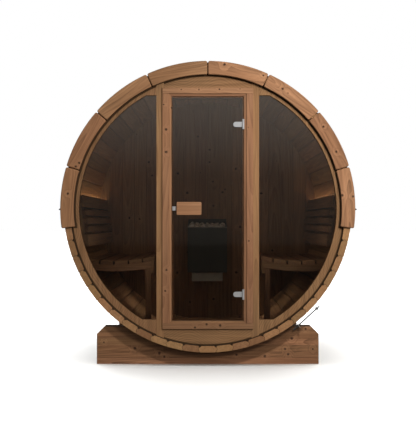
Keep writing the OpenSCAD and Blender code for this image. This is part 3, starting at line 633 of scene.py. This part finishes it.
# Back wall: upright tongued boards with a small V at the joints inside, cut round and held in a
# groove of the staves. A turned wooden vent sits in its upper left.
WALL_KNOTS = [(-0.183, 1.274, 0.017), (0.046, 1.373, 0.014), (0.016, 1.548, 0.013),
              (0.051, 1.159, 0.013), (-0.268, 1.448, 0.016), (0.131, 1.279, 0.015),
              (0.25, 1.489, 0.014), (-0.089, 1.777, 0.013), (0.016, 1.658, 0.014),
              (-0.527, 1.548, 0.015), (-0.498, 1.429, 0.013), (0.48, 1.269, 0.016),
              (0.29, 0.969, 0.015), (-0.608, 1.04, 0.013), (-0.7, 1.05, 0.014),
              (-0.271, 0.56, 0.015), (-0.159, 0.298, 0.014), (0.577, 0.759, 0.014),
              (0.254, 0.563, 0.016), (0.05, 0.324, 0.015)]
# Painted shade in the V grooves
GROOVE_SHADE = 0.15
inside_finish = spruce("bare_inside_spruce", (0.300, 0.169, 0.091), ring=0.011, knot_share=0.4,
                       knots=WALL_KNOTS, variety=0.3)


def shaded_grooves(centre, normal):
    """Painted shade darkens the V along the joints a little."""
    return GROOVE_SHADE if CHAMFER_LEAN[0] < abs(normal.y) < CHAMFER_LEAN[1] else 0.0


eased_copy("back_boards", ["back_wall"], inside_finish, ease=0, seed=21,
           painted_shade=shaded_grooves)
eased_copy("turned_vent", ["vent"], inside_finish, ease=0.001, seed=22)

# Front wall: two full-height stiles, a panel over and under the door and an arched rim round each
# window, all planed boards glued on edge and grooved for the panes.
UNDER_TRIM = 0.9295
UNDER_STAVES = 0.9555
# Painted shade at the wall's edge, where it goes in behind the trim and the staves
EDGE_SHADE_FADE = (0.0, 0.004)
EDGE_SHADE_SHARE = 0.85


def shaded_wall_edge(tree, place, end):
    """Painted shade darkens the wall where it goes in behind the trim, or lower down, behind the
    staves.
    """
    out = from_axis(tree, place)[0]
    height = put(tree, "ShaderNodeSeparateXYZ", {0: place}).outputs["Z"]
    over = maths(tree, "GREATER_THAN", height, trim_low.z)
    start = scaled(tree, over, UNDER_TRIM - UNDER_STAVES, UNDER_STAVES)
    edge_shade = fade(tree, maths(tree, "SUBTRACT", out, start), *EDGE_SHADE_FADE)
    return scaled(tree, edge_shade, EDGE_SHADE_SHARE)


panel_finish = spruce("curly_panel_spruce", (0.286, 0.156, 0.075), ring=0.017, knot_share=0.0,
                      sway=(3.0, 8.0), variety=0.15, contrast=1.5, waves=(0.055, 12.6),
                      darkness=shaded_wall_edge)
stile_finish = spruce("straight_stile_spruce", (0.305, 0.168, 0.081), wobble=0.05, knot_share=0.05,
                      variety=0.15)
eased_copy("front_panels", ["front_rims", "front_top_panel", "front_bottom_panel"], panel_finish,
           ease=0.0012, seed=31)
eased_copy("front_posts", ["front_stiles"], stile_finish, ease=0.0012, seed=33)

# Windows: two fixed panes of bronze-tinted tempered glass, cut to the barrel's curve on one side.
# They sit in the grooves of the stiles and rims, and don't open.


def bronze_glass(name):
    """Clear tempered glass with a bronze tint."""
    finish, tree, shader = new_finish(name)
    fill(tree, shader, {"Base Color": (0.59, 0.56, 0.515, 1.0), "Roughness": 0.0, "IOR": 1.52,
                        "Transmission Weight": 1.0})
    return finish


glass_finish = bronze_glass("bronze_glass")
finish_nodes(glass_finish, "windows")

# Door frame: a mitred lining with a rebate for the glass, and casing boards over its joint with the
# wall, with the head and the sill run over the ends of the sides.
FRAME_KNOTS = [(-0.186, 1.946, 0.007), (-0.062, 1.946, 0.008), (0.082, 1.948, 0.009),
               (0.228, 1.95, 0.007), (-0.311, 1.84, 0.008), (-0.294, 1.665, 0.014),
               (-0.292, 1.507, 0.014), (-0.29, 0.676, 0.012), (-0.3, 0.528, 0.012),
               (-0.256, 1.82, 0.009), (-0.089, 0.271, 0.011), (-0.008, 0.292, 0.012),
               (0.087, 0.285, 0.014), (0.286, 1.679, 0.006), (0.29, 0.88, 0.008)]
frame_finish = spruce("door_frame_spruce", (0.318, 0.169, 0.086), ring=0.011, wobble=0.03,
                      knot_share=0.0, knots=FRAME_KNOTS)
eased_copy("door_casing_boards", ["door_casing"], frame_finish, ease=0.002, seed=41)
eased_copy("door_lining_boards", ["door_lining"], frame_finish, ease=0.001, seed=42)

# Door: one pane of tempered bronze glass without a frame, with a wooden pull on each side, a steel
# latch at its edge and two clamp hinges that turn on pins held by flanges on the lining.
handle_finish = spruce("handle_spruce", (0.350, 0.190, 0.096), ring=0.008, wobble=0.02,
                       knot_share=0.0)
hinge_finish = brushed_steel("blasted_hinge_steel", (0.58, 0.58, 0.59), roughness=0.42,
                             metallic=0.35)
finish_nodes(glass_finish, "door_glass")
eased_copy("door_pulls", ["door_handle"], handle_finish, ease=0.003, body="door",
           seed=51)
eased_copy("hinge_clamp_plates", ["hinge_clamps"], hinge_finish, ease=0.0008, body="door")
eased_copy("latch_block", ["door_latch"], hinge_finish, ease=0.001, body="door")
eased_copy("hinge_flange_plates", ["hinge_flanges"], hinge_finish, ease=0.0006)

# Benches: a seat of lengthwise spruce slats on each side, screwed to rails sawn to a hollow curve.
# The rails stand on short legs, and an apron board closes each seat along the aisle.
BENCH_COLOUR = (0.306, 0.171, 0.090)
# Painted shade on the edges in the gaps between slats and between boards
GAP_SHADE = 0.9
GAP_FACING = 0.7
AISLE_EDGE_MARGIN = 0.02
bench_finish = spruce("bench_spruce", BENCH_COLOUR)
leg_finish = spruce("bench_frame_spruce", BENCH_COLOUR, knot_share=0.0)
aisle_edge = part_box("bench_slats_right")[0].x


def shaded_between_slats(centre, normal):
    """Painted shade darkens the edges between two slats, where the gaps lie in shadow."""
    inner = abs(centre.x) > aisle_edge + AISLE_EDGE_MARGIN
    return GAP_SHADE if inner and abs(normal.x) > GAP_FACING else 0.0


eased_copy("bench_slats", ["bench_slats_left", "bench_slats_right"], bench_finish,
           ease=0.003, seed=61, painted_shade=shaded_between_slats)
eased_copy("bench_frames", ["bench_frames_left", "bench_frames_right", "bench_aprons"], leg_finish,
           ease=0.0015, seed=62)

# Backrests: five lengthwise boards a side on curved battens, with a light strip laid on the battens
# behind the top board that washes the staves above.
# How far under the top the painted shade on board edges starts
TOP_EDGE_MARGIN = 0.03
backrest_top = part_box("backrest_right")[1].z


def shaded_between_boards(centre, normal):
    """Painted shade darkens the edges between two boards too, but not the top one under the light.
    """
    below = centre.z < backrest_top - TOP_EDGE_MARGIN
    return GAP_SHADE if below and abs(normal.z) > GAP_FACING else 0.0


eased_copy("backrest_boards", ["backrest_left", "backrest_right"], bench_finish,
           ease=0.003, seed=71, painted_shade=shaded_between_boards)
eased_copy("backrest_battens_shaped", ["backrest_battens"], bench_finish,
           ease=0.001, seed=72)
strip_finish = brushed_steel("dark_light_profile", (0.06, 0.06, 0.06), roughness=0.5)
strips = eased_copy("light_strip_profiles", ["light_strips"], strip_finish, ease=0)
light_finish, light_tree, light_shader = new_finish("warm_light_diffuser")
fill(light_tree, light_shader, {"Base Color": (1.0, 0.86, 0.66, 1.0), "Emission Strength": 7.0,
                                "Emission Color": (1.0, 0.74, 0.46, 1.0)})
strips.data.materials.append(light_finish)
for face in strips.data.polygons:
    face.material_index = int(face.normal.z > 0.5)

# Heater: an enamelled sheet case hung on the back wall, with a pale bead rolled along the upper
# edge of its front and a connection box screwed on below.
LIP_RADIUS = 0.0035
LIP_DROP = 0.073
LIP_SHORT = 0.004
case_low, case_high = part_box("heater_case")
LIP_SIZES = {"Width": case_high.x - case_low.x - LIP_SHORT, "Bead Radius": LIP_RADIUS,
             "Front": case_low.y + LIP_RADIUS, "Height": case_high.z - LIP_DROP}


def enamel(name, colour, roughness):
    """Baked enamel with a faint orange peel and dust."""
    finish, tree, shader = new_finish(name)
    place = on_object(tree)
    peel = noise(tree, place, scale=350.0, detail=2.0)
    dust = noise(tree, place, scale=9.0, detail=4.0)
    tint = blend_colours(tree, dust, colour, [min(1.0, 1.25 * c + 0.01) for c in colour])
    rough = scaled(tree, dust, 0.15, roughness)
    fill(tree, shader, {"Base Color": tint, "Roughness": rough})
    relief(tree, shader, peel, strength=0.08, distance=0.0005)
    return finish


def rolled_lip(tree, size):
    """A round bead along the upper edge of the case's front."""
    half = scaled(tree, size["Width"], 0.5)
    middle = (case_low.x + case_high.x) / 2
    start, end = [xyz(tree, X=scaled(tree, half, side, middle), Y=size["Front"],
                      Z=size["Height"]) for side in (-1.0, 1.0)]
    line = form(tree, "CurvePrimitiveLine", Start=start, End=end)
    bead = form(tree, "CurvePrimitiveCircle", Resolution=12, Radius=size["Bead Radius"])
    return form(tree, "CurveToMesh", Curve=line, Profile_Curve=bead, Fill_Caps=True)


case_finish = enamel("dark_heater_enamel", (0.03, 0.03, 0.025), roughness=0.42)
unit_finish = enamel("pale_heater_enamel", (0.36, 0.33, 0.28), roughness=0.4)
eased_copy("heater_case_sheet", ["heater_case"], case_finish, ease=0.001)
eased_copy("heater_box", ["heater_unit"], unit_finish, ease=0.003)
grow("heater_lip", rolled_lip, LIP_SIZES, unit_finish)

# Heater stones: broken rock about 50 mm across, laid loose in the heater's open tray in layers that
# rise towards the wall.
stones_low, stones_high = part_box("heater_stones")
STONE_SIZES = {"Width": stones_high.x - stones_low.x, "Depth": stones_high.y - stones_low.y,
               "Stone Radius": 0.026, "Stones Across": 7, "Rows": 6, "Layers": 3,
               "Layer Step": 0.036, "Rise": 0.040, "Top": stones_high.z + 0.024,
               "Roughness": 0.013}
# In stone radii: what the grid leaves free across the tray, and the top layer's depth at the middle
TRAY_MARGIN = 2.3
TOP_MARGIN = 1.45
FACETS = 38.0
CHIP_LEVEL = 0.4
SHAKEN = (0.007, 0.007, 0.006)
SMALLEST_STONE = (0.85, 0.75, 0.6)
LARGEST_STONE = (1.2, 1.05, 0.95)
ANY_WAY_ROUND = (6.283, 6.283, 6.283)


def broken_stone(name, colour):
    """Dull broken rock with mineral grains, paler dust and a tone of its own for each stone."""
    finish, tree, shader = new_finish(name)
    place = on_object(tree)
    grains = put(tree, "ShaderNodeTexVoronoi", {"Vector": place, "Scale": 420.0})
    grains = grains.outputs["Distance"]
    clouds = noise(tree, place, scale=60.0, detail=5.0)
    dark = [0.45 * c for c in colour]
    tint = blend_colours(tree, fade(tree, clouds, 0.3, 0.7), dark, colour)
    tint = blend_colours(tree, scaled(tree, grains, 0.35), tint, dark)
    value = scaled(tree, carried(tree, "tone"), 0.7, 0.65)
    tint = put(tree, "ShaderNodeHueSaturation", {"Value": value, "Color": tint}).outputs[0]
    fill(tree, shader, {"Base Color": tint, "Roughness": 0.85})
    relief(tree, shader, scaled(tree, clouds, 0.6, grains), strength=0.6, distance=0.002)
    return finish


def by_chance(tree, low, high, seed):
    """A number, or three, of its own for each point."""
    kind = "FLOAT_VECTOR" if isinstance(low, tuple) else "FLOAT"
    least, most, result = (0, 1, 0) if kind == "FLOAT_VECTOR" else (2, 3, 1)
    sockets = {least: low, most: high, "Seed": seed}
    return put(tree, "FunctionNodeRandomValue", sockets, data_type=kind).outputs[result]


def toned(tree, copies, seed):
    """Gives each copy of a shape a tone of its own, which its material reads."""
    sockets = {"Geometry": copies, "Name": "tone", "Value": by_chance(tree, 0.0, 1.0, seed)}
    return put(tree, "GeometryNodeStoreNamedAttribute", sockets, data_type="FLOAT",
               domain="INSTANCE").outputs[0]


def position(tree):
    """The X, Y and Z of each point."""
    return put(tree, "ShaderNodeSeparateXYZ", {0: form(tree, "InputPosition")}).outputs


def tray_of_stones(tree, size):
    """Layers of stones on a grid, sloped, shaken, turned, sized and chipped by chance."""
    wide, deep = [scaled(tree, size["Stone Radius"], -TRAY_MARGIN, size[side])
                  for side in ("Width", "Depth")]
    layer = form(tree, "MeshGrid", Size_X=wide, Size_Y=deep, Vertices_X=size["Stones Across"],
                 Vertices_Y=size["Rows"])
    highest = scaled(tree, size["Stone Radius"], -TOP_MARGIN, size["Top"])
    top = xyz(tree, X=(stones_low.x + stones_high.x) / 2, Y=(stones_low.y + stones_high.y) / 2,
              Z=highest)
    step = xyz(tree, Z=scaled(tree, size["Layer Step"], -1.0))
    stack = form(tree, "MeshLine", Count=size["Layers"], Start_Location=top, Offset=step)
    spots = form(tree, "InstanceOnPoints", Points=stack, Instance=layer)
    spots = form(tree, "RealizeInstances", Geometry=spots)
    behind = maths(tree, "SUBTRACT", position(tree)["Y"], stones_high.y)
    behind = maths(tree, "DIVIDE", behind, size["Depth"])
    slope = xyz(tree, Z=scaled(tree, behind, size["Rise"]))
    spots = form(tree, "SetPosition", Geometry=spots, Offset=slope)
    shaken = by_chance(tree, tuple(-reach for reach in SHAKEN), SHAKEN, seed=5)
    spots = form(tree, "SetPosition", Geometry=spots, Offset=shaken)
    stone = form(tree, "MeshIcoSphere", Radius=size["Stone Radius"], Subdivisions=3)
    turned = by_chance(tree, (0.0, 0.0, 0.0), ANY_WAY_ROUND, seed=6)
    sized = by_chance(tree, SMALLEST_STONE, LARGEST_STONE, seed=7)
    stones = form(tree, "InstanceOnPoints", Points=spots, Instance=stone, Rotation=turned,
                  Scale=sized)
    stones = form(tree, "RealizeInstances", Geometry=toned(tree, stones, seed=8))
    facets = put(tree, "ShaderNodeTexVoronoi", {"Scale": FACETS})
    chip = maths(tree, "SUBTRACT", CHIP_LEVEL, facets.outputs["Distance"])
    chip = scaled(tree, chip, size["Roughness"])
    chipped = put(tree, "ShaderNodeVectorMath", {0: form(tree, "InputNormal"), "Scale": chip},
                  operation="SCALE").outputs[0]
    return form(tree, "SetPosition", Geometry=stones, Offset=chipped)


stone_finish = broken_stone("heater_stone_rough", (0.86, 0.79, 0.67))
grow("heater_rocks", tray_of_stones, STONE_SIZES, stone_finish, ["heater_stones"])

# Roof: felt shingles with black mineral chips, nailed in overlapping rows on an underlay over the
# upper half of the barrel, with caps along the ridge and a folded black drip flashing along each
# eave.
SHINGLE_SIZES = {"Roof Radius": 1.0186, "Rows": 11, "Row Height": 0.1435, "Lap": 0.045,
                 "Tab Width": 0.2406, "Tab Gap": 0.007, "Thickness": 0.0026, "Tabs": 7,
                 "Half Length": 0.7215, "Cap Width": 0.24}
# In thicknesses over the underlay
TAB_LIFT = 1.05
CAP_LIFT = 2.1


def mineral_felt(name, colour):
    """Bitumen felt faced with crushed slate, where each shingle has its own tone."""
    finish, tree, shader = new_finish(name)
    place = on_object(tree)
    chips = put(tree, "ShaderNodeTexVoronoi", {"Vector": place, "Scale": 520.0}).outputs
    lot = put(tree, "ShaderNodeSeparateColor", {0: chips["Color"]}).outputs[0]
    clouds = noise(tree, place, scale=14.0, detail=4.0)
    pale = [3.2 * c for c in colour]
    tint = blend_colours(tree, maths(tree, "POWER", lot, 2.5), colour, pale)
    value = scaled(tree, clouds, 0.5, 0.5)
    value = scaled(tree, carried(tree, "tone"), 0.5, value)
    tint = put(tree, "ShaderNodeHueSaturation", {"Value": value, "Color": tint}).outputs[0]
    fill(tree, shader, {"Base Color": tint, "Roughness": 0.85})
    relief(tree, shader, chips["Distance"], strength=0.5, distance=0.0015)
    return finish


def bent_shingles(tree, size):
    """Rows of tabs laid out flat from the ridge down both sides, with ridge caps, bent to the roof.

    Every second row is shifted by half a tab. Tabs are cut off level with the ends of the roof."""
    tab_height = maths(tree, "ADD", size["Row Height"], size["Lap"])
    tab_width = maths(tree, "SUBTRACT", size["Tab Width"], size["Tab Gap"])
    tab_size = xyz(tree, X=tab_height, Y=tab_width, Z=size["Thickness"])
    tab = form(tree, "MeshCube", Size=tab_size, Vertices_X=5, Vertices_Y=3)
    first = scaled(tree, size["Tab Width"], -0.5)
    first = scaled(tree, first, maths(tree, "SUBTRACT", size["Tabs"], 1.0))
    lean = maths(tree, "DIVIDE", size["Thickness"], tab_height)
    lift = scaled(tree, size["Thickness"], TAB_LIFT)
    next_tab = xyz(tree, Y=size["Tab Width"])
    course = form(tree, "MeshLine", Count=size["Tabs"], Offset=next_tab)
    pieces = []
    for side in (1.0, -1.0):
        tilt = xyz(tree, Y=scaled(tree, lean, -side))
        step = xyz(tree, X=scaled(tree, size["Row Height"], 2.0 * side))
        for shift in (0.0, 0.5):
            down = scaled(tree, size["Row Height"], (0.5 + 2.0 * shift) * side)
            down = scaled(tree, size["Lap"], -0.5 * side, down)
            aside = scaled(tree, size["Tab Width"], shift, first)
            count = scaled(tree, size["Rows"], 0.5, 0.5 - shift)
            rows = form(tree, "MeshLine", Count=maths(tree, "FLOOR", count),
                        Start_Location=xyz(tree, X=down, Y=aside, Z=lift), Offset=step)
            spots = form(tree, "InstanceOnPoints", Points=rows, Instance=course)
            spots = form(tree, "RealizeInstances", Geometry=spots)
            tabs = form(tree, "InstanceOnPoints", Points=spots, Instance=tab, Rotation=tilt)
            pieces.append(toned(tree, tabs, seed=int(10 + 4 * shift + side)))
    cap_size = xyz(tree, X=size["Cap Width"], Y=tab_width, Z=size["Thickness"])
    cap = form(tree, "MeshCube", Size=cap_size, Vertices_X=7, Vertices_Y=2)
    on_top = xyz(tree, Y=first, Z=scaled(tree, size["Thickness"], CAP_LIFT))
    ridge = form(tree, "MeshLine", Count=size["Tabs"], Start_Location=on_top, Offset=next_tab)
    caps = form(tree, "InstanceOnPoints", Points=ridge, Instance=cap)
    pieces.append(toned(tree, caps, seed=17))
    flat = form(tree, "RealizeInstances", Geometry=joined(tree, pieces))
    spot = position(tree)
    bend = maths(tree, "DIVIDE", spot["X"], size["Roof Radius"])
    reach = maths(tree, "ADD", size["Roof Radius"], spot["Z"])
    front = scaled(tree, size["Half Length"], -1.0)
    level = maths(tree, "MINIMUM", maths(tree, "MAXIMUM", spot["Y"], front), size["Half Length"])
    across = scaled(tree, reach, maths(tree, "SINE", bend))
    height = scaled(tree, reach, maths(tree, "COSINE", bend), axis_height)
    bent = xyz(tree, X=across, Y=level, Z=height)
    return form(tree, "SetPosition", Geometry=flat, Position=bent)


felt_finish = mineral_felt("black_mineral_felt", (0.016, 0.016, 0.018))
flashing_finish = enamel("black_coated_sheet", (0.012, 0.012, 0.013), roughness=0.4)
finish_nodes(felt_finish, "roof_cover")
finish_nodes(flashing_finish, "drip_edges")
grow("roof_shingles", bent_shingles, SHINGLE_SIZES, felt_finish)

# End trim: four arched boards a side cover the stave ends over the upper half of each end, sawn
# from wide boards with rounded corners and screwed on from behind.
TRIM_KNOTS = [(0.116, 2.111, 0.014), (0.388, 2.035, 0.01), (0.523, 1.941, 0.013),
              (0.805, 1.677, 0.013), (0.896, 1.504, 0.012), (0.938, 1.199, 0.013),
              (1.013, 1.192, 0.012), (-0.976, 1.21, 0.012), (-0.896, 1.424, 0.013),
              (-0.92, 1.401, 0.012)]
# Painted shade on the trim's inner edge
INNER_EDGE_SHADE = 0.85
trim_finish = spruce("orange_trim_spruce", (0.322, 0.168, 0.085), ring=0.013, wobble=0.07,
                     knot_share=0.0, knots=TRIM_KNOTS, variety=0.25, contrast=1.35)


def along_the_arch(centre, size):
    """Lays the grain square to the line from the barrel's axis."""
    axis = Vector((0, 0, axis_height))
    out = (centre - axis).normalized()
    out.y = 0
    return Vector((out.z, 0, -out.x)).normalized(), Vector((0, 1, 0))


def shaded_inside(centre, normal):
    """The edge towards the opening is painted dark, as shade behind the trim."""
    out = Vector((centre.x, 0, centre.z - axis_height)).normalized()
    return INNER_EDGE_SHADE if normal @ out < -SQUARE_ON else 0.0


eased_copy("trim_boards", ["trim_front", "trim_rear"], trim_finish, ease=0.006,
           lay=along_the_arch, seed=81, painted_shade=shaded_inside)

# Floor: one plain pale matt sheet, from just in front of the sauna to far behind it. It shows the
# shadow, and throws no light back on the sauna.
FLOOR_SIDE = 30.0
FLOOR_FRONT = -2.3
FLOOR_BACK = 60.0
floor_mesh = bpy.data.meshes.new("floor")
floor_mesh.from_pydata([(-FLOOR_SIDE, FLOOR_FRONT, 0.0), (FLOOR_SIDE, FLOOR_FRONT, 0.0),
                        (FLOOR_SIDE, FLOOR_BACK, 0.0), (-FLOOR_SIDE, FLOOR_BACK, 0.0)],
                       [], [(0, 1, 2, 3)])
floor = set_up("floor", floor_mesh)
floor_finish, floor_tree, floor_shader = new_finish("pale_floor")
fill(floor_tree, floor_shader, {"Base Color": (0.93, 0.93, 0.93, 1.0), "Roughness": 0.9})
floor_mesh.materials.append(floor_finish)
floor.visible_diffuse = False
floor.visible_glossy = False

# Sky: a warm dome round the studio, dark near the floor, brightest a little above it and brighter
# to the right. The backdrop itself is plain white.
SKY_LOW = -0.1
SKY_STEPS = [(SKY_LOW, 0.03), (-0.034, 0.035), (-0.031, 0.1), (0.07, 0.2), (0.18, 0.9),
             (0.6, 0.55), (1.0, 0.4)]
SKY_TOP = max(level for height, level in SKY_STEPS)
SKY_TO_RIGHT = 0.55
SKY_COLOUR = (1.0, 0.94, 0.86)
BACKDROP_COLOUR = (1.0, 1.0, 1.0)
world = bpy.data.worlds.new("studio")
bpy.context.scene.world = world
world.use_nodes = True
sky = world.node_tree
direction = put(sky, "ShaderNodeTexCoord").outputs["Generated"]
toward = put(sky, "ShaderNodeSeparateXYZ", {0: direction}).outputs
rise = maths(sky, "DIVIDE", maths(sky, "SUBTRACT", toward["Z"], SKY_LOW), 1.0 - SKY_LOW)
ramp = put(sky, "ShaderNodeValToRGB", {0: rise})
for height, level in SKY_STEPS[1:-1]:
    ramp.color_ramp.elements.new((height - SKY_LOW) / (1.0 - SKY_LOW))
for stop, (height, level) in zip(ramp.color_ramp.elements, SKY_STEPS):
    stop.position = (height - SKY_LOW) / (1.0 - SKY_LOW)
    stop.color = (level / SKY_TOP, level / SKY_TOP, level / SKY_TOP, 1.0)
to_right = scaled(sky, toward["X"], SKY_TO_RIGHT, 1.0)
brightness = scaled(sky, ramp.outputs["Color"], SKY_TOP)
brightness = scaled(sky, brightness, to_right)
seen = put(sky, "ShaderNodeLightPath").outputs["Is Camera Ray"]
strength = put(sky, "ShaderNodeMix", {0: seen, 2: brightness, 3: 1.0}).outputs[0]
shown = blend_colours(sky, seen, SKY_COLOUR, BACKDROP_COLOUR)
fill(sky, sky.nodes["Background"], {"Strength": strength, "Color": shown})

# Lights: a soft lamp in front, small lamps in the cabin in place of the daylight that the dark
# glass holds back, one over the cradles, one behind, and an overhead light for the floor alone.
CABIN_LAMP = 0.3


def soft_light(name, place, target, power, size=CABIN_LAMP, spread=180, hidden=False):
    """A square lamp that looks at a target, with its spread in degrees. It is never seen itself,
    and a hidden one isn't seen through the glass either."""
    lamp = bpy.data.lights.new(name, "AREA")
    lamp.shape = "SQUARE"
    lamp.size = size
    lamp.energy = power
    lamp.spread = math.radians(spread)
    held = set_up(name, lamp)
    held.location = place
    held.rotation_euler = (Vector(target) - Vector(place)).to_track_quat("-Z", "Y").to_euler()
    held.visible_camera = held.visible_glossy = False
    held.visible_transmission = not hidden
    return held


def gathered(name, *pieces):
    """A set of pieces that a light is tied to."""
    group = bpy.data.collections.new(name)
    for piece in pieces:
        group.objects.link(piece)
    return group


key = soft_light("key", (0.9, -3.3, 1.9), (0.5, -0.7, 1.85), power=29.0, size=0.6, spread=120)
unlit_by_key = gathered("unlit_by_key", floor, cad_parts["windows"],
                        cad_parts["door_glass"])
for spared in unlit_by_key.collection_objects:
    spared.light_linking.link_state = "EXCLUDE"
key.light_linking.receiver_collection = unlit_by_key
soft_light("inside", (0.0, -0.58, 1.7), (0.0, 0.55, 1.0), power=0.6, hidden=True)
soft_light("seat_left", (-0.52, -0.62, 0.94), (-0.62, 0.2, 0.7), power=0.27, hidden=True)
soft_light("seat_right", (0.52, -0.62, 0.94), (0.62, 0.2, 0.7), power=0.36, hidden=True)
staves_alone = gathered("staves_alone", staves)
for name, side in (("low_left", -1.0), ("low_right", 1.0)):
    low = soft_light(name, (0.1 * side, -0.6, 0.8), (0.62 * side, 0.3, 0.36), power=0.5, spread=55,
                     hidden=True)
    low.light_linking.receiver_collection = staves_alone
low_key = soft_light("low_key", (0.75, -2.7, 3.1), (0.0, -0.65, 0.15), power=16.5, size=0.2,
                     spread=60)
low_key.light_linking.receiver_collection = gathered("cradles_alone", cradles)
soft_light("rear", (-3.5, 4.5, 3.5), (0.0, 0.7, 1.1), power=120.0, size=2.0)
over_lamp = bpy.data.lights.new("over_floor", "SUN")
over_lamp.energy = 4.7
over_lamp.angle = math.radians(85)
over_lamp.color = (0.97, 0.99, 1.0)
over = set_up("over_floor", over_lamp)
over.rotation_euler.x = math.radians(-19)
over.light_linking.receiver_collection = gathered("floor_alone", floor)

# Camera: level, square to the front and a little under the middle of the barrel, with its lens
# shifted so that the sauna stands where the photograph has it.
CAMERA_BACK = 5.455
CAMERA_HEIGHT = 1.013
camera_data = bpy.data.cameras.new("front_camera")
camera_data.sensor_width = 36.0
camera_data.lens = 56.2
camera_data.shift_x = 0.0006
camera_data.shift_y = 0.0139
camera = set_up("front_camera", camera_data)
camera.location = (0.0, -CAMERA_BACK, CAMERA_HEIGHT)
camera.rotation_euler = (math.radians(90), 0, 0)
bpy.context.scene.camera = camera
bpy.context.scene.view_settings.view_transform = "Standard"
